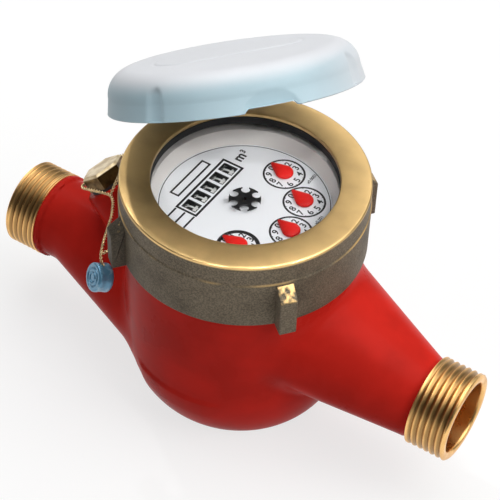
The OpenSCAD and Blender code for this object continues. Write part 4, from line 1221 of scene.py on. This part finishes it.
class METER_OT_cap(MeterOperator, bpy.types.Operator):
    """Hinged cap: a drafted shell with a crowned top, an oval panel, finger grips and a thumb notch."""

    bl_idname = "meter.cap"
    bl_label = "Cap"

    def execute(self, context):
        tints = context.scene.meter_colours
        plastic = cap_plastic(tints.cap, tints.cap_pale)
        tie = {"body": "lid", "nodes": ["lid"], "slot": "lid_plastic"}
        shell, painted_light = self.shell()
        put("cap_shell", opened(shell).outward(), plastic, marks={"painted_light": painted_light}, **tie)
        put("cap_arm", opened(self.arm()).outward(), plastic, **tie)
        return {"FINISHED"}

    @staticmethod
    def shell():
        """Skin of the cap over turn a and a profile from the crown down the outside and up the inside.

        The outside leans in by the draft, turns over a round and rises in a low crown. Grips are dents
        sqrt(1 - (d / w)^2) in the wall under a round top, the notch lifts the rim and scoops the wall under
        an arch, the panel lifts the crown inside a groove. The second result marks each point with how much
        painted light it gets: the crown, and the wall's sunny side, painted paler than the wall.
        """
        r, h, wall, bend, draft, edge, steps = 43.2, 14.0, 2.0, 8.7, 1.0, 0.25, 360
        rise, panel_x, panel_half, panel_r, panel_lift, panel_edge = 0.5, 2.0, 15.5, 9.5, 0.2, 0.5
        groove_deep, groove_out, groove_wide = 0.25, 0.5, 0.35
        grip_turn, grip_top, grip_round = np.radians(52), 11.0, 3.0
        grip_edge, grip_deep, grip_half = 1.6, 1.3, 3.1
        arch_half, arch_high, arch_deep = 9.4, 6.5, 1.5
        notch_half, notch_edge, notch_fade, notch_lift = 8.6, 0.5, 4.0, 1.5
        pale_from, pale_over = 0.75 * bend, 0.7 * bend
        sun_from, sun_over, sun_share = 0.1, 0.9, 0.7
        top, hub = LID_Z + h, r - draft - bend
        crown_r = np.linspace(0, hub, 60, endpoint=False)
        down = np.linspace(top - bend, LID_Z, 30)[1:]
        lean = r - draft + draft * (top - bend - down) / (h - bend)

        def half(inset):
            """Half of the profile, drawn in by an inset: crown, round and wall, its last point raised."""
            line = np.concatenate([np.stack([crown_r, np.full(len(crown_r), top - inset)], 1),
                                   (hub, top - bend) + (bend - inset) * rays(np.linspace(np.pi / 2, 0, 18)),
                                   np.stack([lean - inset, down], 1)])
            line[-1, 1] += edge
            return line

        outer, rim = half(0.0), [(r - edge, LID_Z), (r - wall + edge, LID_Z)]
        profile = np.concatenate([outer, rim, half(wall)[::-1]])
        a = full_turn(steps)[:, None]
        radius, z = (np.tile(column, (steps, 1)) for column in profile.T)
        outside = np.where(np.arange(len(profile)) < len(outer), 1.0, 0.0)
        around = np.angle(np.exp(1j * (a - np.pi)))
        crown = rise * unit(1 - (radius / hub) ** 2)
        x, y = radius * np.cos(a), radius * np.sin(a)
        oval = np.hypot(x - panel_x, np.maximum(np.abs(y) - panel_half, 0)) - panel_r
        groove = groove_deep * np.exp(-((oval - groove_out) / groove_wide) ** 2)
        panel = panel_lift * unit(0.5 - oval / panel_edge) - groove
        z += (profile[:, 0] < hub) * (crown + outside * panel)
        for side in (-1, 1):
            d = np.angle(np.exp(1j * (around - side * grip_turn))) * r
            below = LID_Z + grip_top - z + np.sqrt(np.maximum(grip_round ** 2 - d ** 2, 0)) - grip_round
            dent = grip_deep * np.sqrt(unit(1 - (d / grip_half) ** 2))
            radius -= dent * unit(below / grip_edge) * outside
        d = around * r
        arch = unit(1 - (d / arch_half) ** 2) ** 0.5 * arch_high
        radius -= arch_deep * (np.clip(arch - (z - LID_Z), 0, arch_high) / arch_high) * outside
        z += notch_lift * (unit((notch_half - np.abs(d)) / notch_edge) * unit(1 - (z - LID_Z) / notch_fade))
        # Painted light on the crown and on the sunny side of the wall
        high = unit((z - (top - pale_from)) / pale_over)
        sunny = sun_share * unit((around - sun_from) / sun_over)
        painted_light = np.maximum(*(share * share * (3 - 2 * share) for share in (high, sunny)))
        return Shell(about_z(radius, z, a), lattice(steps, len(profile), wrap_rows=True)), painted_light

    @staticmethod
    def arm():
        """Arm from the cap's wall to the knuckle on the pin, an outline thickened with soft edges."""
        knuckle, half, edge = 3.4, 4.7, 0.5
        nose = (HINGE_X, HINGE_Z) + knuckle * rays(np.linspace(np.pi, TURN, 28))
        back = [(52.9, LID_Z), (49.9, LID_Z + 5), (41.6, LID_Z + 5), (41.6, LID_Z + 0.2),
                (44.6, LID_Z - 0.1)]
        return slab(np.concatenate([nose, back]), half, edge)


class METER_OT_dial_print(MeterOperator, bpy.types.Operator):
    """Print on the dial: number frame, small dials with numerals, rules, multipliers and the unit."""

    bl_idname = "meter.dial_print"
    bl_label = "Dial print"

    def execute(self, context):
        size, tints = sizes(context), context.scene.meter_colours
        thick, line = size["print"], size["line"]
        low, high = DIAL_Z - 0.01, DIAL_Z + thick
        rim_r, rim_line, ring_r, inner_ring_r, doubled = 29.6, 0.3, 7.2, 6.5, 3
        numeral_r, tick_from, tick_to, tick_line = 5.3, 6.55, 7.1, 0.22
        shells = [hoop((0, 0), rim_r, rim_line, low, high, steps=159)] + self.frames(line, low, high)
        hubs = POINTER_CIRCLE * rays(POINTER_TURNS)
        marks = [glyphs(str(d), size["numeral"], 0.07, thick) for d in range(10)]
        for i, hub in enumerate(hubs):
            shells.append(hoop(hub, ring_r, line, low, high))
            if i == doubled:
                shells.append(hoop(hub, inner_ring_r, line, low, high))
            for digit, mark in enumerate(marks):
                spot = hub + numeral_r * rays(np.pi / 2 - digit * TURN / 10)
                shells.append(mark.moved(shift=(*spot, DIAL_Z)))
            ray = rays(np.pi / 2 - np.arange(10) * TURN / 10 + TURN / 20)
            shells.append(bars(hub + tick_from * ray, hub + tick_to * ray, tick_line, low, high))
        small, unit_type, cube_type = (1.75, 0.03), (5.4, 0.17), (3.0, 0.1)
        for text, spot, kind in (("x0.0001", (23.6, -12.4), small), ("x0.001", (7.6, -25.2), small),
                                 ("x0.01", (-10.6, -25.0), small), ("x0.1", (-25.2, -2.2), small),
                                 ("m", (18.8, 14.0), unit_type), ("3", (21.9, 15.2), cube_type)):
            shells.append(glyphs(text, *kind, thick).moved(shift=(*spot, DIAL_Z)))
        ink = plain("dial_ink", tints.ink, rough=0.45, grain=1800.0, depth=0.000005, vary=0.3)
        put("dial_print", joined(shells).moved(ON_DIAL), ink, slot="black_plastic", flat=True)
        return {"FINISHED"}

    @staticmethod
    def frames(line, low, high):
        """Rules of the number frame, the bare panel above it and the ladder of rules at its left."""
        shells = []
        for middle, size, thick in (((0.0, WHEEL_Y), (28.9, 7.95), line * 1.2),
                                    ((-0.1, 22.6), (19.4, 3.2), line)):
            c = SQUARE * size / 2 + middle
            stretch = np.array([(-1, 0), (0, -1), (1, 0), (0, 1)]) * thick / 2
            shells.append(bars(c + stretch, np.roll(c, -1, 0) - stretch, thick, low, high))
        rules, left, right = (18.2, 14.4, 10.6), -21.6, -15.2
        shells.append(bars([(left, y) for y in rules], [(right, y) for y in rules], line, low, high))
        return shells


class METER_OT_number_wheels(MeterOperator, bpy.types.Operator):
    """White numerals wrapped round the five number wheels, and the dark linings of their windows."""

    bl_idname = "meter.number_wheels"
    bl_label = "Number wheels"

    def execute(self, context):
        white = plain("wheel_numerals", (0.82, 0.83, 0.82), rough=0.4, grain=1500.0, depth=0.00001)
        height, bold, thick, foot_half, foot_high = 5.0, 0.14, 0.04, 1.35, 0.8
        marks = [glyphs(str(d), height, bold, thick) for d in range(10)]
        foot = marks[1].points[:, 1].min() + foot_high / 2
        base = bars([(-foot_half, foot)], [(foot_half, foot)], foot_high, 0.0, thick)
        base = Shell(base.points, tris=np.concatenate([base.quads[:, :3], base.quads[:, [0, 2, 3]]]))
        marks[1] = joined([marks[1], base])
        marks = [mark.finer().finer() for mark in marks]
        aside, behind = 0.9, 0.6
        for i in range(5):
            x = (2 - i) * WHEEL_STEP + aside
            shell = joined([self.wrapped(mark, behind / WHEEL_R - (d - 1) * TURN / 10, x)
                            for d, mark in enumerate(marks)])
            put(f"wheel_numerals_{i + 1}", shell.moved(ON_DIAL), white, body=f"number_wheel_{i + 1}",
                slot="white_plastic", flat=True)
        window, wall, deep, proud = np.array([4.3, 5.8]), 0.24, 1.1, 0.03
        c = SQUARE * (window / 2 - wall / 2)
        low, high = DIAL_Z - deep, DIAL_Z + proud
        frames = [bars(c + (x, WHEEL_Y), np.roll(c, -1, 0) + (x, WHEEL_Y), wall, low, high)
                  for x in (np.arange(5) - 2) * WHEEL_STEP]
        lining = plain("window_black", (0.012, 0.012, 0.013), rough=0.5, grain=1500.0, depth=0.00001)
        put("window_linings", joined(frames).moved(ON_DIAL), lining, slot="black_plastic", flat=True)
        return {"FINISHED"}

    @staticmethod
    def wrapped(mark, turn, x):
        """A flat numeral bent round the wheel: its height runs round the rim and its thickness outward."""
        sunk = 0.01
        p = mark.points
        a = turn + p[:, 1] / WHEEL_R
        r = WHEEL_R - sunk + p[:, 2]
        points = np.stack([x + p[:, 0], WHEEL_Y + r * np.sin(a), WHEEL_Z + r * np.cos(a)], 1)
        return Shell(points, mark.quads, mark.tris)


class METER_OT_hands(MeterOperator, bpy.types.Operator):
    """Domed red hands of the small dials and the black star of the flow indicator."""

    bl_idname = "meter.hands"
    bl_label = "Hands and star"

    def execute(self, context):
        tints = context.scene.meter_colours
        red = plain("hand_red", tints.hand, rough=0.4, grain=1200.0, depth=0.00001, vary=0.15,
                    Specular_IOR_Level=0.2)
        black = plain("star_black", (0.011, 0.011, 0.012), rough=0.32, grain=1200.0, depth=0.00002,
                      vary=0.3)
        low, high, wall = 86.6, 88.4, 0.5
        star_low, star_high = 87.9, 88.5
        tips = np.radians([11.5, 15.0, 12.9, 3.0])
        for i, (turn, tip) in enumerate(zip(POINTER_TURNS, tips)):
            hub, node = POINTER_CIRCLE * rays(turn), f"pointer_{i + 1}"
            hand = dome(self.teardrop(), low, high, wall).moved(spin_z(-tip), (*hub, 0))
            put(f"red_hand_{i + 1}", hand.moved(ON_DIAL), red, body=node, nodes=[node], slot="pointer_red")
        star = self.star(star_low, star_high).moved(spin_z(TURN / 12)).moved(ON_DIAL)
        put("flow_star", star, black, body="star", nodes=["star_indicator"], slot="black_plastic",
            flat=True)
        return {"FINISHED"}

    @staticmethod
    def teardrop():
        """Outline of a hand: a round hub with straight flanks to a small round tip towards +Y."""
        hub, nib, reach, spacing = 3.2, 0.45, 5.95, 0.35
        lean = np.arcsin((hub - nib) / reach)
        round_hub = hub * rays(np.linspace(np.pi - lean, TURN + lean, 64))
        round_tip = (0, reach) + nib * rays(np.linspace(lean, np.pi - lean, 12))
        return spread(np.concatenate([round_hub, round_tip]), spacing)

    @staticmethod
    def star(low, high):
        """Star with six arms between keyhole notches, each a round hole with a narrower way to the rim.

        An arm is a lattice ruled between the half holes at its sides, from the hub out to the rim's arc.
        The points of both faces make closed rows, and a strip joins the faces at the rim.
        """
        rim, hole, at, mouth, ways, ruled = 5.6, 1.62, 4.55, 1.15, 6, 9
        step = TURN / ways
        left = (at, 0) + hole * rays(np.linspace(np.pi, np.arcsin(mouth / hole), 16))
        left = np.concatenate([left, [[np.sqrt(rim ** 2 - mouth ** 2), mouth]]])
        right = (left * [1, -1]) @ spin_z(step)[:2, :2].T
        t = np.linspace(0, 1, ruled)[:, None]
        arm = left[:, None] * (1 - t) + right[:, None] * t
        edge = arm[-1] / np.linalg.norm(arm[-1], axis=-1, keepdims=True) * rim
        arm = np.concatenate([np.zeros((1, ruled, 2)), arm, edge[None]])
        shells = []
        for k in range(ways):
            flat = arm @ spin_z(k * step)[:2, :2].T
            under, over = raised(flat, low), raised(flat, high)
            loop = np.concatenate([over, under[:, ::-1]], 1)
            shells += [Shell(loop, lattice(len(flat), 2 * ruled, wrap_cols=True)),
                       Shell(np.stack([under[-1], over[-1]]), lattice(2, ruled))]
        return joined(shells)


class METER_OT_finishes(MeterOperator, bpy.types.Operator):
    """Finishes of the CAD solids that stay as they are."""

    bl_idname = "meter.finishes"
    bl_label = "Finishes of the solids"

    def execute(self, context):
        tints = context.scene.meter_colours
        steel = plain("drawn_steel", (0.56, 0.57, 0.58), rough=0.3, grain=1400.0, depth=0.00001,
                      Metallic=1.0)
        brass = plain("bar_brass", tints.turned, rough=0.35, grain=1400.0, depth=0.00001, Metallic=1.0)
        plug = self.plug_finish(tints.plug)
        white = plain("moulded_white", (0.72, 0.73, 0.73), rough=0.42)
        wheel = plain("wheel_black", (0.015, 0.015, 0.016), rough=0.4)
        rubber = plain("black_rubber", (0.018, 0.018, 0.02), rough=0.6, grain=700.0, depth=0.00004)
        fibre = plain("washer_fibre", (0.05, 0.055, 0.055), rough=0.75, grain=900.0, depth=0.00008)
        magnet = plain("sintered_magnet", (0.07, 0.07, 0.075), rough=0.5, grain=1300.0, depth=0.00004,
                       Metallic=0.6)
        dial = plain("dial_white", tints.dial, rough=0.38, grain=1600.0, depth=0.000006, vary=0.02)
        bezel = plain("bezel_white", tints.bezel, rough=0.25, grain=1200.0, depth=0.000008, vary=0.05,
                      Coat_Weight=0.4)
        strainer = plain("strainer_grey", (0.5, 0.51, 0.5), rough=0.5)
        glass = clear_glass()
        table = {
            "inlet_strainer": strainer, "chamber_basket": white, "pivot_pin": steel, "chamber_cover": white,
            "pressure_plate": brass, "body_seal": rubber, "regulating_screw": brass, "plug_washer": fibre,
            "adjuster_plug": plug, "register_can": white, "train_plate": white, "dial_plate": dial,
            "number_shaft": steel, "bezel_ring": bezel, "glass": glass, "glass_gasket": rubber,
            "hinge_pin": steel, "impeller": white, "drive_magnet": magnet, "follower_arbor": steel,
            "follower_magnet": magnet, "first_gear": white,
            **{f"idler_gear_{i}": white for i in range(1, 4)},
            **{f"pointer_gear_{i}": white for i in range(1, 5)},
            **{f"number_wheel_{i}": wheel for i in range(1, 6)},
        }
        for node, finish in table.items():
            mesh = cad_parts[node].data
            mesh.materials.clear()
            mesh.materials.append(finish)
        return {"FINISHED"}

    @staticmethod
    def plug_finish(colour):
        """Hexagon stock: painted shade on the flats under a painted highlight on the top."""
        head_high, blend = 0.0063, 0.0002
        f = Finish("plug_brass", Metallic=0.85)
        # Painted shade on the flats and painted highlight on the top, parted by height along the plug's
        # axis
        shaded_flats, mask = f.mottle(shade(colour, 0.16), shade(colour, 0.42), scale=260.0)
        lit_brass, _ = f.mottle((0.62, 0.47, 0.27), (0.85, 0.70, 0.46), scale=260.0)
        axis = (-np.sin(PLUG_LEAN), 0, np.cos(PLUG_LEAN))
        head = PLUG_SEAT @ axis * MM + head_high
        f.colour(f.mixed(f.ranged(f.along(axis), head - blend, head + blend), shaded_flats, lit_brass))
        f.rough(f.spread(mask, 0.42, 0.3))
        f.grain(fine=1200.0, coarse=260.0, share=0.4, depth=0.00006, strength=0.5)
        return f.material


OPERATORS = (METER_OT_stage, METER_OT_wires, METER_OT_casting, METER_OT_pipe_ends, METER_OT_ring,
             METER_OT_cap, METER_OT_dial_print, METER_OT_number_wheels, METER_OT_hands, METER_OT_finishes)


class METER_PT_panel(bpy.types.Panel):
    """Lists the pieces of the meter with their sizes and colours."""

    bl_idname = "METER_PT_panel"
    bl_label = "Water Meter"
    bl_space_type = "VIEW_3D"
    bl_region_type = "UI"
    bl_category = "Meter"

    def draw(self, context):
        layout, scene = self.layout, context.scene
        for group, keys in ((scene.meter_sizes, MeterSizes), (scene.meter_colours, MeterColours),
                            (scene.meter_stage, StageSettings)):
            for key in keys.__annotations__:
                layout.prop(group, key)
        for operator in OPERATORS:
            layout.operator(operator.bl_idname)


CLASSES = (MeterSizes, MeterColours, StageSettings, *OPERATORS, METER_PT_panel)


def register():
    """Registers the classes and hangs their settings on the scene."""
    for item in CLASSES:
        bpy.utils.register_class(item)
    bpy.types.Scene.meter_sizes = PointerProperty(type=MeterSizes)
    bpy.types.Scene.meter_colours = PointerProperty(type=MeterColours)
    bpy.types.Scene.meter_stage = PointerProperty(type=StageSettings)


def unregister():
    """Takes the settings and the classes away again."""
    del bpy.types.Scene.meter_stage
    del bpy.types.Scene.meter_colours
    del bpy.types.Scene.meter_sizes
    for item in reversed(CLASSES):
        bpy.utils.unregister_class(item)


def main():
    """Builds the meter piece by piece."""
    register()
    bpy.ops.meter.stage()
    bpy.ops.meter.wires()
    bpy.ops.meter.casting()
    bpy.ops.meter.pipe_ends()
    bpy.ops.meter.ring()
    bpy.ops.meter.cap()
    bpy.ops.meter.dial_print()
    bpy.ops.meter.number_wheels()
    bpy.ops.meter.hands()
    bpy.ops.meter.finishes()
    bpy.context.view_layer.update()


if __name__ == "__main__":
    main()
